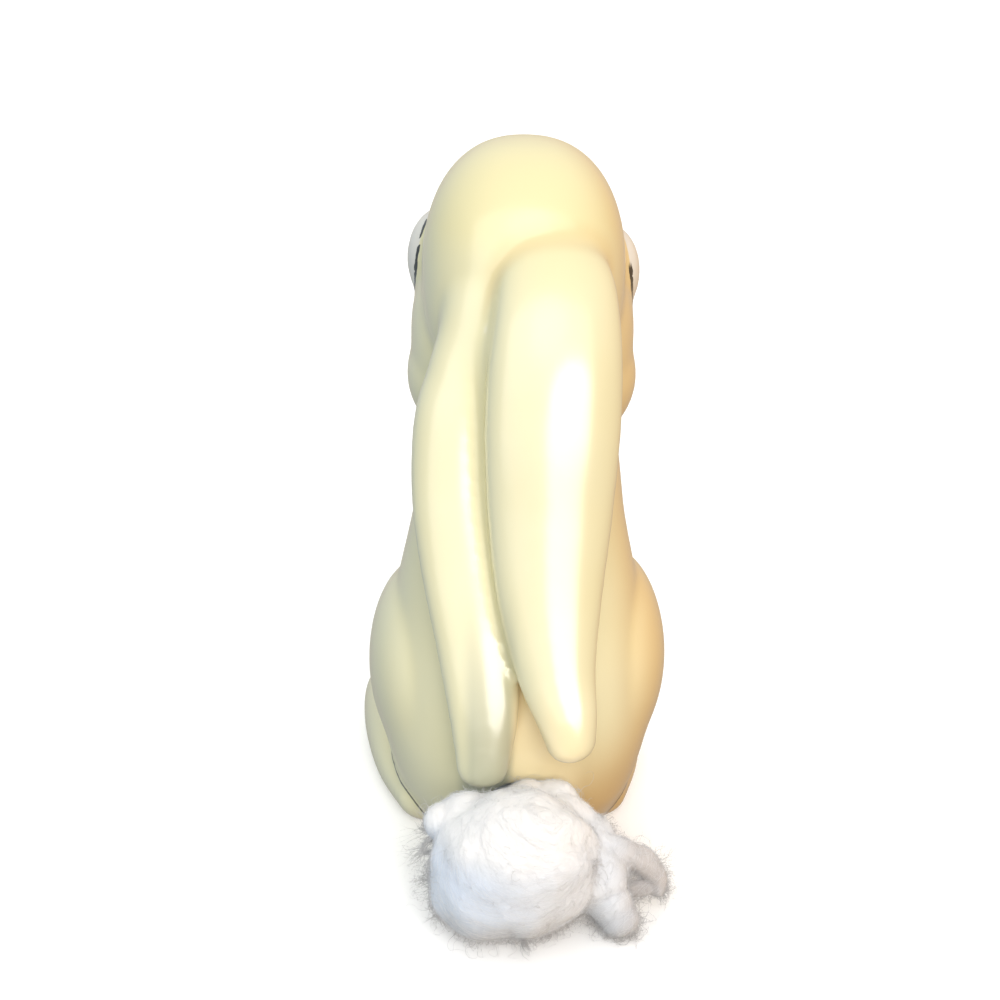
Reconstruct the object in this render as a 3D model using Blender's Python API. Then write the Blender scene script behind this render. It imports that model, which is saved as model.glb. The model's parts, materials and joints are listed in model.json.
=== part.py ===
"""A slip-cast rabbit that holds cotton balls and gives them out, one by one, as its tail.

The fired body is hollow. Its ears, forelegs and hind feet are castings of their own, stuck to it
with slip. Cotton balls go in through a hole in the base, which a rubber bung closes, and come out
through the tail hole. Metres, +Z up, and the rabbit faces -Y.
"""

import math

import bmesh
import bpy
from mathutils import Euler, Matrix, Vector
from mathutils.bvhtree import BVHTree

# Main sizes. The tables of forms below are in shares of them, from the middle of the base.
FIGURE_WIDTH = 0.0792  # across the hind feet
FIGURE_LENGTH = 0.1180  # from the toes to the tips of the ears
FIGURE_HEIGHT = 0.1800  # from the shelf to the crown
BALL_WIDTH = 0.0205  # the cotton balls that it is made for

# Casting
WALL = 0.0040  # fired thickness of the hollow body
FLOOR = 0.0045  # thickness of the base that the rabbit stands on
LUTE_GAP = 0.0003  # the layer of slip between two castings
SKIN_GRAIN = 0.0014  # grain at which the forms of the body are fused
CHAMBER_GRAIN = 0.0024
CREASE_SOFTENING = 7  # rounds of smoothing, which fill the creases as glaze does
SKIN_DETAIL = 0.076  # share of the fused faces that is kept
CHAMBER_DETAIL = 0.10

# Trunk, as sections from the base up: height, half width, front and back
TRUNK_SECTIONS = (
    (-0.0333, 0.2652, -0.2119, 0.1864),
    (0.0222, 0.3535, -0.2627, 0.2542),
    (0.0722, 0.4104, -0.2924, 0.3008),
    (0.1556, 0.4520, -0.3051, 0.3305),
    (0.2667, 0.4394, -0.3051, 0.3305),
    (0.3778, 0.3889, -0.2924, 0.2881),
    (0.4722, 0.3434, -0.2712, 0.2331),
    (0.5722, 0.3131, -0.2288, 0.1864),
    (0.6778, 0.2588, -0.1695, 0.1271),
)
TRUNK_STEPS = 32  # rings of the trunk's mesh between its lowest and highest section

# Rounded forms: place, then size. Lip and eye mound are mirrored to the other side
LEFT_HAUNCH = (0.3030, -0.0254, 0.2278), (0.3788, 0.4746, 0.3056)
RIGHT_HAUNCH = (-0.3119, -0.0254, 0.2389), (0.3788, 0.4746, 0.3111)
CRANIUM = (0.0, -0.0381, 0.8139), (0.6376, 0.5000, 0.3722)
TEMPLES = (0.0, -0.1186, 0.7111), (0.7197, 0.4661, 0.3444)
JOWL = (0.0, -0.1017, 0.6556), (0.7449, 0.4237, 0.2556)
SNOUT = (0.0, -0.2203, 0.7167), (0.4545, 0.3220, 0.2000)
LIP = (0.0694, -0.3178, 0.6861), (0.2146, 0.1610, 0.0833)
NOSE = (0.0, -0.3856, 0.7322), (0.1263, 0.0678, 0.0378)
EYE_MOUND = (0.2563, -0.1568, 0.8017), (0.2399, 0.1695, 0.1333)
HAUNCH_LEAN = math.radians(8)
HEAD_TURN = math.radians(-5)
HEAD_SQUARENESS = 2.3  # of cranium and temples. 2 is an ellipsoid, and more is boxier

# Limbs, as stations along each: x outwards, y, z, half width, and half thickness by the length
LEFT_EAR = (
    (0.0884, 0.0678, 0.8667, 0.1010, 0.0678),
    (0.1288, 0.1254, 0.8111, 0.1199, 0.0763),
    (0.1515, 0.1458, 0.7611, 0.1237, 0.0763),
    (0.1869, 0.1678, 0.7056, 0.1250, 0.0746),
    (0.2222, 0.1915, 0.6500, 0.1288, 0.0720),
    (0.2247, 0.2237, 0.5611, 0.1364, 0.0678),
    (0.1995, 0.2669, 0.4667, 0.1376, 0.0610),
    (0.1641, 0.3178, 0.3667, 0.1288, 0.0559),
    (0.1439, 0.3602, 0.2722, 0.1111, 0.0492),
    (0.1465, 0.3814, 0.1917, 0.0833, 0.0424),
)
RIGHT_EAR = (
    (-0.0694, 0.0975, 0.8667, 0.1452, 0.0678),
    (-0.0758, 0.1949, 0.8389, 0.1793, 0.0805),
    (-0.0669, 0.2627, 0.7667, 0.2020, 0.0847),
    (-0.0581, 0.3008, 0.6667, 0.2096, 0.0797),
    (-0.0530, 0.3263, 0.5500, 0.1944, 0.0729),
    (-0.0530, 0.3559, 0.4444, 0.1667, 0.0644),
    (-0.0720, 0.3898, 0.3444, 0.1275, 0.0559),
    (-0.1035, 0.4153, 0.2833, 0.0997, 0.0492),
    (-0.1187, 0.4237, 0.2444, 0.0808, 0.0441),
)
RIGHT_EAR_TWIST = math.radians(-10)
FORELEG = (
    (0.1768, -0.1017, 0.5000, 0.1263, 0.0847),
    (0.1894, -0.2203, 0.3778, 0.1263, 0.0932),
    (0.1793, -0.2966, 0.2444, 0.1010, 0.0720),
    (0.1641, -0.3390, 0.1111, 0.0884, 0.0610),
    (0.1616, -0.3729, 0.0250, 0.1073, 0.0847),
)
FEET_SHIFT = 0.0139  # share of the width: both hind feet stand a little to the left
HIND_FOOT = (
    (0.2841, 0.0678, 0.0333, 0.1073, 0.0593),
    (0.3157, -0.0678, 0.0389, 0.1414, 0.0805),
    (0.3384, -0.2288, 0.0444, 0.1540, 0.1017),
    (0.3472, -0.3644, 0.0444, 0.1490, 0.1059),
    (0.3434, -0.4407, 0.0389, 0.1326, 0.0932),
)

# Holes in the body. A ball passes either of them
HOLE_CLEARANCE = 0.0005
HOLE_WIDTH = BALL_WIDTH + 2 * HOLE_CLEARANCE
TAIL_HOLE_LIP = 0.0005  # height of the tail hole's edge above the chamber's floor
TAIL_HOLE_LOW = FLOOR + TAIL_HOLE_LIP
TAIL_HOLE_Z = TAIL_HOLE_LOW + HOLE_WIDTH / 2

# Rubber bung in the filler hole, and the recess in the base that takes its flange
BUNG_CLEARANCE = 0.0003
BUNG_REACH = 0.0020  # how far the plug stands above the chamber's floor
BUNG_TAPER = 0.0008
BUNG_TOP = FLOOR + BUNG_REACH
FLANGE_OVERLAP, FLANGE_THICKNESS = 0.0030, 0.0013
FLANGE_WIDTH = HOLE_WIDTH + 2 * FLANGE_OVERLAP
RECESS_SIDE_MARGIN, RECESS_END_MARGIN = 0.0015, 0.0050  # room for a fingernail at front and back
RECESS_DEPTH = 0.0020
DIMPLE_WIDTH, DIMPLE_DEPTH = 0.0130, 0.0030
BUNG_FACETS = 36
BUNG_SHARP_ANGLE = math.radians(35)
MERGE_DISTANCE = 0.000001

# Cotton. The lumps of the fluffed tail are in ball widths, from where the hole's axis leaves the
# rump: x, y, z, width, length, height
BALL_COUNT = 10  # resting in the chamber, besides the one behind the tail hole
COTTON_GAP = 0.0003  # between cotton and what it lies on
NECK_WIDTH = BALL_WIDTH * 2 / 3
NECK_REACH = 0.0030  # how far the tail's neck reaches into the chamber
NECK_Z = TAIL_HOLE_LOW + COTTON_GAP + NECK_WIDTH / 2  # it lies on the hole's lower edge
TAIL_LUMPS = (
    (0.220, 1.200, 0.100, 2.049, 1.854, 1.756),
    (0.000, 0.395, -0.110, 1.268, 0.878, 0.878),
    (-0.341, 0.688, 0.232, 1.220, 0.976, 0.878),
    (-1.024, 0.980, -0.110, 0.976, 0.878, 0.732),
    (-1.502, 0.980, -0.305, 0.463, 0.585, 0.732),
    (-0.829, 1.346, -0.339, 0.927, 0.927, 0.732),
    (0.756, 0.859, 0.280, 0.927, 0.976, 0.927),
)
COTTON_GRAIN = 0.0012
COTTON_SOFTENING = 3
COTTON_DETAIL = 0.065
BALL_SIDES, BALL_RINGS = 14, 8

# How the balls drop into the chamber: where from, and how they spread round it
DROP_PLACE = (0.0, -0.0339, 0.4722)  # shares of the main sizes
DROP_SPREAD = BALL_WIDTH * 5 / 12
GOLDEN_TURN = 2.4
ROLL_STEP = BALL_WIDTH / 60
MOST_STEPS, MOST_PUSHES = 260, 40
AT_REST = ROLL_STEP / 20
PUSHED_CLEAR = AT_REST / 200

# Finishes: colour and roughness
CREAM_GLAZE = (0.93, 0.87, 0.66), 0.18
COTTON_WOOL = (0.93, 0.93, 0.94), 0.95
GREY_RUBBER = (0.30, 0.29, 0.28), 0.60


def sized(row, *sizes):
    """Shares of the main sizes, as lengths."""
    return [share * size for share, size in zip(row, sizes)]


def placed(row):
    """A place or a size along x, y and z, as lengths."""
    return Vector(sized(row, FIGURE_WIDTH, FIGURE_LENGTH, FIGURE_HEIGHT))


TRUNK = [sized(row, FIGURE_HEIGHT, FIGURE_WIDTH, FIGURE_LENGTH, FIGURE_LENGTH) for row in TRUNK_SECTIONS]


def material(name, colour, roughness):
    made = bpy.data.materials.new(name)
    made.use_nodes = True
    surface = made.node_tree.nodes["Principled BSDF"]
    surface.inputs["Base Color"].default_value = (*colour, 1.0)
    surface.inputs["Roughness"].default_value = roughness
    surface.inputs["Metallic"].default_value = 0.0
    return made


def close_rows(mesh, rows, first_tip, last_tip):
    """Joins rows of points with quads, and closes each end with a fan to its tip."""
    sides = len(rows[0])
    for low, high in zip(rows, rows[1:]):
        for side in range(sides):
            after = (side + 1) % sides
            mesh.faces.new((low[side], low[after], high[after], high[side]))
    first, last = mesh.verts.new(first_tip), mesh.verts.new(last_tip)
    for side in range(sides):
        after = (side + 1) % sides
        mesh.faces.new((rows[0][after], rows[0][side], first))
        mesh.faces.new((rows[-1][side], rows[-1][after], last))


def rounded_form(mesh, centre, size, squareness=2.0, turn=(0.0, 0.0, 0.0), sides=40, rings=24):
    """Adds a closed egg-like form. Squareness 2 makes an ellipsoid, and more makes it boxier."""
    place = Matrix.Translation(centre) @ Euler(turn).to_matrix().to_4x4()

    def bent(value):
        return math.copysign(abs(value) ** (2.0 / squareness), value)

    def point(latitude, longitude):
        flat = bent(math.cos(latitude))
        local = (
            flat * bent(math.cos(longitude)),
            flat * bent(math.sin(longitude)),
            bent(math.sin(latitude)),
        )
        return place @ Vector([half * length / 2 for half, length in zip(local, size)])

    rows = []
    for ring in range(1, rings):
        latitude = math.pi * (ring / rings - 0.5)
        rows.append([mesh.verts.new(point(latitude, math.tau * side / sides)) for side in range(sides)])
    close_rows(mesh, rows, point(-math.pi / 2, 0.0), point(math.pi / 2, 0.0))


def eased(stations, position):
    """Reads a row of stations at a fractional position, along a smooth curve through them."""
    index = min(max(int(position), 0), len(stations) - 2)
    share = position - index
    start, end = stations[index], stations[index + 1]
    before = stations[index - 1] if index else start
    after = stations[index + 2] if index + 2 < len(stations) else end

    def curve(a, b, c, d):
        bend = (2 * a - 5 * b + 4 * c - d) * share**2
        swing = (3 * b - 3 * c + d - a) * share**3
        return 0.5 * (2 * b + (c - a) * share + bend + swing)

    return [curve(*values) for values in zip(before, start, end, after)]


def trunk_at(height):
    """Half width, front and back of the trunk at a height."""
    for index in range(len(TRUNK) - 1):
        low, high = TRUNK[index][0], TRUNK[index + 1][0]
        if height <= high:
            break
    share = min(max((height - low) / (high - low), 0.0), 1.0)
    return eased(TRUNK, index + share)[1:]


def trunk(mesh, bottom, inset, sides=48):
    """Adds the trunk from a given height up to the neck, all round smaller by an inset."""
    top = TRUNK[-1][0]
    rows = []
    for step in range(TRUNK_STEPS + 1):
        height = bottom + (top - bottom) * step / TRUNK_STEPS
        half_width, front, back = trunk_at(height)
        row = []
        for side in range(sides):
            angle = math.tau * side / sides
            reach = back if math.sin(angle) > 0 else -front
            x = (half_width - inset) * math.cos(angle)
            row.append(mesh.verts.new((x, (reach - inset) * math.sin(angle), height)))
        rows.append(row)
    close_rows(mesh, rows, (0.0, 0.0, bottom), (0.0, 0.0, top))


def limb(mesh, stations, side=1, twist=0.0, shift=0.0, sides=16, steps_between=3, end_rings=4):
    """Adds a limb along its stations, with both ends rounded. Side -1 mirrors it to -X."""
    count = (len(stations) - 1) * steps_between
    samples = [eased(stations, step / steps_between) for step in range(count + 1)]
    points = [Vector((side * s[0] + shift, s[1], s[2])) for s in samples]
    rings = []
    for index, sample in enumerate(samples):
        along = (points[min(index + 1, count)] - points[max(index - 1, 0)]).normalized()
        rings.append((points[index], along, sample[3], sample[4]))

    def end_cap(ring, outwards):
        centre, along, half_width, half_thickness = ring
        bulge = min(half_width, half_thickness)
        for step in range(1, end_rings):
            angle = math.pi / 2 * step / end_rings
            shrink = math.cos(angle)
            moved = centre + along * (outwards * bulge * math.sin(angle))
            yield moved, along, half_width * shrink, half_thickness * shrink

    whole = list(end_cap(rings[0], -1))[::-1] + rings + list(end_cap(rings[-1], 1))
    rows = []
    for centre, along, half_width, half_thickness in whole:
        wide = (Vector((1.0, 0.0, 0.0)) - along * along.x).normalized()
        wide = Matrix.Rotation(twist, 3, along) @ wide
        thick = along.cross(wide)
        row = []
        for step in range(sides):
            angle = math.tau * step / sides
            out = wide * (half_width * math.cos(angle)) + thick * (half_thickness * math.sin(angle))
            row.append(mesh.verts.new(centre + out))
        rows.append(row)
    tips = [
        rings[end][0] + rings[end][1] * (outwards * min(rings[end][2:]))
        for end, outwards in ((0, -1), (-1, 1))
    ]
    close_rows(mesh, rows, *tips)


def head_form(mesh, form, side=1, inset=0.0, squareness=2.0):
    """Adds a form of the head, which is turned a little to one side."""
    place, size = placed(form[0]), placed(form[1])
    place.x *= side
    turned = Matrix.Rotation(HEAD_TURN, 3, "Z") @ place
    smaller = [length - 2 * inset for length in size]
    rounded_form(mesh, turned, smaller, squareness, turn=(0.0, 0.0, HEAD_TURN))


def body_forms(mesh, bottom, inset):
    """Adds every form of the hollow casting. The chamber is the same forms, smaller by the wall."""
    trunk(mesh, bottom, inset)
    for form in (CRANIUM, TEMPLES):
        head_form(mesh, form, inset=inset, squareness=HEAD_SQUARENESS)
    for form in (JOWL, SNOUT):
        head_form(mesh, form, inset=inset)
    for place, size in (LEFT_HAUNCH, RIGHT_HAUNCH):
        smaller = [length - 2 * inset for length in placed(size)]
        rounded_form(mesh, placed(place), smaller, turn=(HAUNCH_LEAN, 0.0, 0.0))


def face_forms(mesh):
    """Adds the solid mounds of the face, which the chamber doesn't follow."""
    for side in (-1, 1):
        head_form(mesh, LIP, side)
        head_form(mesh, EYE_MOUND, side)
    head_form(mesh, NOSE)


def new_object(name, mesh, parent, surface=None):
    """Makes an object from a bmesh, under the figure's empty."""
    bmesh.ops.recalc_face_normals(mesh, faces=mesh.faces)
    data = bpy.data.meshes.new(name)
    mesh.to_mesh(data)
    mesh.free()
    made = bpy.data.objects.new(name, data)
    bpy.context.scene.collection.objects.link(made)
    made.parent = parent
    if surface:
        data.materials.append(surface)
    data.shade_smooth()
    return made


def fuse(made, grain, rounds, kept):
    """Melts overlapping forms into one skin with soft creases, in as many faces as are kept."""
    melt = made.modifiers.new("melt", "REMESH")
    melt.mode = "VOXEL"
    melt.voxel_size = grain
    soften = made.modifiers.new("soften", "SMOOTH")
    soften.iterations = rounds
    thin = made.modifiers.new("thin", "DECIMATE")
    thin.ratio = kept


def as_guide(made):
    made.hide_render = True
    made.display_type = "WIRE"
    return made


def cut(made, cutter, name):
    remove = made.modifiers.new(name, "BOOLEAN")
    remove.operation = "DIFFERENCE"
    remove.solver = "EXACT"
    remove.object = cutter


def grown(source, name, amount):
    """A guide that is another object's skin, moved out by a clearance."""
    made = source.copy()
    made.name = name
    grow = made.modifiers.new("grow", "DISPLACE")
    grow.strength = amount
    grow.mid_level = 0.0
    bpy.context.scene.collection.objects.link(made)
    return as_guide(made)


def below_shelf(figure):
    """A block that trims whatever stands on the shelf flat at its surface."""
    reach = 2 * FIGURE_LENGTH
    mesh = bmesh.new()
    bmesh.ops.create_cube(mesh, size=reach)
    bmesh.ops.translate(mesh, verts=mesh.verts, vec=(0.0, 0.0, -reach / 2))
    return as_guide(new_object("below_shelf", mesh, figure))


def cylinder(name, figure, start, end, width, depth=None, sides=40):
    """A round or oval guide between two points, which lie along Y or Z."""
    mesh = bmesh.new()
    along = Vector(end) - Vector(start)
    bmesh.ops.create_cone(
        mesh, cap_ends=True, segments=sides, radius1=width / 2, radius2=width / 2, depth=along.length
    )
    bmesh.ops.scale(mesh, verts=mesh.verts, vec=(1.0, (depth or width) / width, 1.0))
    turn = Vector((0.0, 0.0, 1.0)).rotation_difference(along).to_matrix()
    bmesh.ops.rotate(mesh, verts=mesh.verts, matrix=turn)
    bmesh.ops.translate(mesh, verts=mesh.verts, vec=(Vector(start) + Vector(end)) / 2)
    return as_guide(new_object(name, mesh, figure))


def make_body(figure, glaze, shelf, rump):
    """The hollow casting, and the guides that its limbs and its filling are fitted to."""
    mesh = bmesh.new()
    body_forms(mesh, TRUNK[0][0], 0.0)
    face_forms(mesh)
    body = new_object("body_casting", mesh, figure, glaze)
    fuse(body, SKIN_GRAIN, CREASE_SOFTENING, SKIN_DETAIL)
    skin = grown(body, "skin_with_lute", LUTE_GAP)

    mesh = bmesh.new()
    body_forms(mesh, FLOOR, WALL)
    chamber = as_guide(new_object("chamber", mesh, figure))
    fuse(chamber, CHAMBER_GRAIN, CREASE_SOFTENING, CHAMBER_DETAIL)

    middle, outside = (0.0, 0.0, TAIL_HOLE_Z), (0.0, rump + WALL, TAIL_HOLE_Z)
    under, above = (0.0, 0.0, -WALL), (0.0, 0.0, FLOOR + WALL)
    recess_width = FLANGE_WIDTH + 2 * RECESS_SIDE_MARGIN
    recess_length = FLANGE_WIDTH + 2 * RECESS_END_MARGIN
    recess_top = (0.0, 0.0, RECESS_DEPTH)
    cutters = (
        shelf,
        chamber,
        cylinder("tail_hole", figure, middle, outside, HOLE_WIDTH),
        cylinder("base_recess", figure, under, recess_top, recess_width, recess_length),
        cylinder("filler_hole", figure, under, above, HOLE_WIDTH),
    )
    for cutter in cutters:
        cut(body, cutter, "open_" + cutter.name)
    return body, skin, chamber


def make_limb(name, figure, glaze, stations, cutters, **shape):
    """One solid casting, shaped to the pieces that it is stuck to."""
    sizes = (FIGURE_WIDTH, FIGURE_LENGTH, FIGURE_HEIGHT, FIGURE_WIDTH, FIGURE_LENGTH)
    mesh = bmesh.new()
    limb(mesh, [sized(row, *sizes) for row in stations], **shape)
    made = new_object(name, mesh, figure, glaze)
    for cutter in cutters:
        cut(made, cutter, "seat_on_" + cutter.name)
    return made


def make_bung(figure, rubber):
    """The turned bung: a flange under the base, a tapered plug, and a dimple to pull it by."""
    top_of_flange = RECESS_DEPTH - BUNG_CLEARANCE
    under = top_of_flange - FLANGE_THICKNESS
    plug = HOLE_WIDTH / 2 - BUNG_CLEARANCE
    profile = (
        (0.0, BUNG_TOP),
        (plug - BUNG_TAPER, BUNG_TOP),
        (plug, top_of_flange),
        (FLANGE_WIDTH / 2, top_of_flange),
        (FLANGE_WIDTH / 2, under),
        (DIMPLE_WIDTH / 2, under),
        (DIMPLE_WIDTH / 2, under + DIMPLE_DEPTH),
        (0.0, under + DIMPLE_DEPTH),
    )
    mesh = bmesh.new()
    corners = [mesh.verts.new((radius, 0.0, height)) for radius, height in profile]
    edges = [mesh.edges.new(pair) for pair in zip(corners, corners[1:])]
    bmesh.ops.spin(
        mesh,
        geom=corners + edges,
        axis=(0, 0, 1),
        cent=(0, 0, 0),
        steps=BUNG_FACETS,
        angle=math.tau,
        use_merge=True,
    )
    bmesh.ops.remove_doubles(mesh, verts=mesh.verts, dist=MERGE_DISTANCE)
    made = new_object("filler_bung", mesh, figure, rubber)
    made.data.set_sharp_from_angle(angle=BUNG_SHARP_ANGLE)
    return made


def make_tail(figure, cotton, rump, cutters):
    """The ball that is being pulled: a neck through the tail hole, and the fluffed wad outside."""
    radius = NECK_WIDTH / 2
    ends = (rump - WALL - NECK_REACH + radius, rump, rump + WALL)
    mesh = bmesh.new()
    limb(mesh, [(0.0, y, NECK_Z, radius, radius) for y in ends])
    for lump in TAIL_LUMPS:
        x, y, z, *size = [share * BALL_WIDTH for share in lump]
        rounded_form(mesh, (x, rump + y, TAIL_HOLE_Z + z), size)
    tail = new_object("cotton_tail", mesh, figure, cotton)
    fuse(tail, COTTON_GRAIN, COTTON_SOFTENING, COTTON_DETAIL)
    for cutter in cutters:
        cut(tail, cutter, "pressed_on_" + cutter.name)
    return tail


def behind_neck(tail):
    """Where the next ball waits: slid towards the hole until it meets the neck's inner end."""
    neck = BVHTree.FromObject(tail, bpy.context.evaluated_depsgraph_get())
    radius = BALL_WIDTH / 2
    place = Vector((0.0, 0.0, TAIL_HOLE_LOW + COTTON_GAP + radius))
    for _ in range(MOST_PUSHES):
        spare = neck.find_nearest(place)[3] - radius - COTTON_GAP
        if spare < PUSHED_CLEAR:
            break
        place.y += spare
    return place


def settle_balls(chamber, first_centre):
    """Drops balls into the chamber one by one, and lets each roll to the lowest free place."""
    walls = BVHTree.FromObject(chamber, bpy.context.evaluated_depsgraph_get())
    radius = BALL_WIDTH / 2
    apart = BALL_WIDTH + COTTON_GAP
    lowest = BUNG_TOP + radius + COTTON_GAP
    centres = []

    def way_out(place):
        """The nearest point of the line that the next ball leaves along."""
        return Vector((first_centre.x, max(place.y, first_centre.y), first_centre.z))

    def pushed_clear(place):
        """Moves a ball out of the wall, off the bung and off the balls that already lie there."""
        for _ in range(MOST_PUSHES):
            move = Vector()
            near, normal, _, distance = walls.find_nearest(place)
            inside = (near - place).dot(normal) > 0
            depth = radius + COTTON_GAP - (distance if inside else -distance)
            if depth > 0:
                move -= normal * depth
            for other in centres + [way_out(place)]:
                gap = place - other
                if gap.length < apart:
                    move += gap.normalized() * (apart - gap.length)
            if place.z < lowest and place.xy.length < HOLE_WIDTH / 2 + radius:
                move.z += lowest - place.z
            if move.length < PUSHED_CLEAR:
                break
            place = place + move
        return place

    for number in range(BALL_COUNT):
        angle = number * GOLDEN_TURN
        spread = Vector((math.cos(angle), math.sin(angle), 0.0)) * DROP_SPREAD
        place = placed(DROP_PLACE) + spread
        for _ in range(MOST_STEPS):
            lower = pushed_clear(place - Vector((0.0, 0.0, ROLL_STEP)))
            if (lower - place).length < AT_REST:
                break
            place = lower
        centres.append(place)
    return centres


def make_ball(name, figure, cotton, centre):
    mesh = bmesh.new()
    bmesh.ops.create_uvsphere(
        mesh, u_segments=BALL_SIDES, v_segments=BALL_RINGS, radius=BALL_WIDTH / 2
    )
    made = new_object(name, mesh, figure, cotton)
    made.location = centre
    return made


def set_over_origin(figure, pieces):
    """Puts the origin under the middle of the whole object, tail included."""
    bpy.context.view_layer.update()
    seen = bpy.context.evaluated_depsgraph_get()
    corners = [
        piece.matrix_world @ Vector(corner)
        for piece in pieces
        for corner in piece.evaluated_get(seen).bound_box
    ]
    reach = [corner.y for corner in corners]
    figure.location.y = -(min(reach) + max(reach)) / 2


def main():
    for old in list(bpy.data.objects):
        bpy.data.objects.remove(old)
    figure = bpy.data.objects.new("figure", None)
    bpy.context.scene.collection.objects.link(figure)

    glaze = material("cream_glaze", *CREAM_GLAZE)
    cotton = material("cotton_wool", *COTTON_WOOL)
    rubber = material("grey_rubber", *GREY_RUBBER)

    rump = trunk_at(TAIL_HOLE_Z)[2]  # where the tail hole's axis leaves the body
    shelf = below_shelf(figure)
    body, skin, chamber = make_body(figure, glaze, shelf, rump)
    left_ear = make_limb("left_ear", figure, glaze, LEFT_EAR, [skin])
    left_ear_guide = grown(left_ear, "left_ear_with_lute", LUTE_GAP)
    beside = [skin, left_ear_guide]
    right_ear = make_limb("right_ear", figure, glaze, RIGHT_EAR, beside, twist=RIGHT_EAR_TWIST)
    right_ear_guide = grown(right_ear, "right_ear_with_lute", LUTE_GAP)
    for name, side in (("left", 1), ("right", -1)):
        leg = make_limb(name + "_foreleg", figure, glaze, FORELEG, [shelf, skin], side=side)
        beside = [shelf, skin, grown(leg, name + "_foreleg_with_lute", LUTE_GAP)]
        shift = FEET_SHIFT * FIGURE_WIDTH
        make_limb(name + "_hind_foot", figure, glaze, HIND_FOOT, beside, side=side, shift=shift)
    make_bung(figure, rubber)
    beside = [left_ear_guide, right_ear_guide]
    beside += [grown(made, made.name + "_with_gap", COTTON_GAP) for made in (body, shelf)]
    tail = make_tail(figure, cotton, rump, beside)
    bpy.context.view_layer.update()
    waiting = behind_neck(tail)
    make_ball("cotton_ball_next", figure, cotton, waiting)
    for number, centre in enumerate(settle_balls(chamber, waiting), 1):
        make_ball(f"cotton_ball_{number:02d}", figure, cotton, centre)
    set_over_origin(figure, [made for made in figure.children if not made.hide_render])


main()
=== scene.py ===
# %% [markdown]
# # A glazed rabbit that gives out cotton balls
#
# The real object is a slip-cast rabbit, hollow and glazed in cream, that holds cotton balls. The
# tuft that stands for its tail is the ball that is being pulled out. This lesson dresses the
# plain model of it: the glaze, the painted eyes, the wool and the rubber bung. The plain model
# comes first, as a frame that stays fixed. Its box is kept, and gathered with the box of the
# dressed model at the end.

import json
import math

import bmesh
import bpy
import numpy as np
from mathutils import Euler, Matrix, Vector, noise
from mathutils.bvhtree import BVHTree

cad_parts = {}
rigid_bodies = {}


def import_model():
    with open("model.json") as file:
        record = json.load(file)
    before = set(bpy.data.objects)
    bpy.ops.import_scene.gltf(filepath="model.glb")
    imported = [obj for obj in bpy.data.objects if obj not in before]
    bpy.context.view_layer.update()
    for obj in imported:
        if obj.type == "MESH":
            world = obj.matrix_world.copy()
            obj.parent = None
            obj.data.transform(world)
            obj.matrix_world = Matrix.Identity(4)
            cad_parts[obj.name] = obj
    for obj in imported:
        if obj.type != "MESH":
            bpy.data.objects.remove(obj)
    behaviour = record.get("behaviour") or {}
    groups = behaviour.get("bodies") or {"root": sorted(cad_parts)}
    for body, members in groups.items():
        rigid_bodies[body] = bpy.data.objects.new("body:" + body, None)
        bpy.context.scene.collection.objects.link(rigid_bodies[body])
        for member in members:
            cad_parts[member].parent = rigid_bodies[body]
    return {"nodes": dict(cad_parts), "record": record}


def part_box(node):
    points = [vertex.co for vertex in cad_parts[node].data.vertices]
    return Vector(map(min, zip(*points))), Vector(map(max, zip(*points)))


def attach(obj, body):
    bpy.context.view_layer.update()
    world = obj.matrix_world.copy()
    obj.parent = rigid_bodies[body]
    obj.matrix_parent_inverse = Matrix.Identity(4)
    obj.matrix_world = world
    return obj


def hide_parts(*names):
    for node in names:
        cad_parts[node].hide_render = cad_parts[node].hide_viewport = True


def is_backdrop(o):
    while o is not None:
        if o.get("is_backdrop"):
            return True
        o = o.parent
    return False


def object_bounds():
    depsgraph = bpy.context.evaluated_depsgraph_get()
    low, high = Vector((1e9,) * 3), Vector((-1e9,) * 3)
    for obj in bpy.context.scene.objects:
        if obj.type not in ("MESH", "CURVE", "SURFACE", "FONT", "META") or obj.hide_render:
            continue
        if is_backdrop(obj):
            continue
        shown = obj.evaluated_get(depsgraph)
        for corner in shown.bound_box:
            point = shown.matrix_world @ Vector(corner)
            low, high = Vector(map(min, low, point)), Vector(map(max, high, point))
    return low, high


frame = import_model()
cad_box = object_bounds()
MM = 0.001
bung_low, bung_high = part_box("filler_bung")
AXIS_Y = (bung_low.y + bung_high.y) / 2  # the bung is turned, so its middle is the rabbit's axis
print(len(frame["nodes"]), "nodes, and the rabbit's upright axis is at y", round(AXIS_Y, 5))

# %% [markdown]
# The photograph was taken from behind and a little above, slightly to one side, and the camera
# was tilted by about a degree. A camera could be turned by hand until the outlines agree. Here
# its three directions are worked out from the angles, so that each angle is one number to change.

# %% The camera
AZIMUTH, ELEVATION, ROLL = (math.radians(angle) for angle in (5.0, 22.0, 1.1))
TARGET = Vector((0.0, AXIS_Y, 85 * MM))
DISTANCE = 0.5
FOCAL_PIXELS, FRAME_PIXELS, SENSOR = 1940.0, 1000.0, 36.0
MIDDLE_X, MIDDLE_Y = 519.0, 508.9  # where the target is in the frame, in pixels


def linked(name, data):
    """An object with its data, in the scene."""
    made = bpy.data.objects.new(name, data)
    bpy.context.scene.collection.objects.link(made)
    return made


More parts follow.
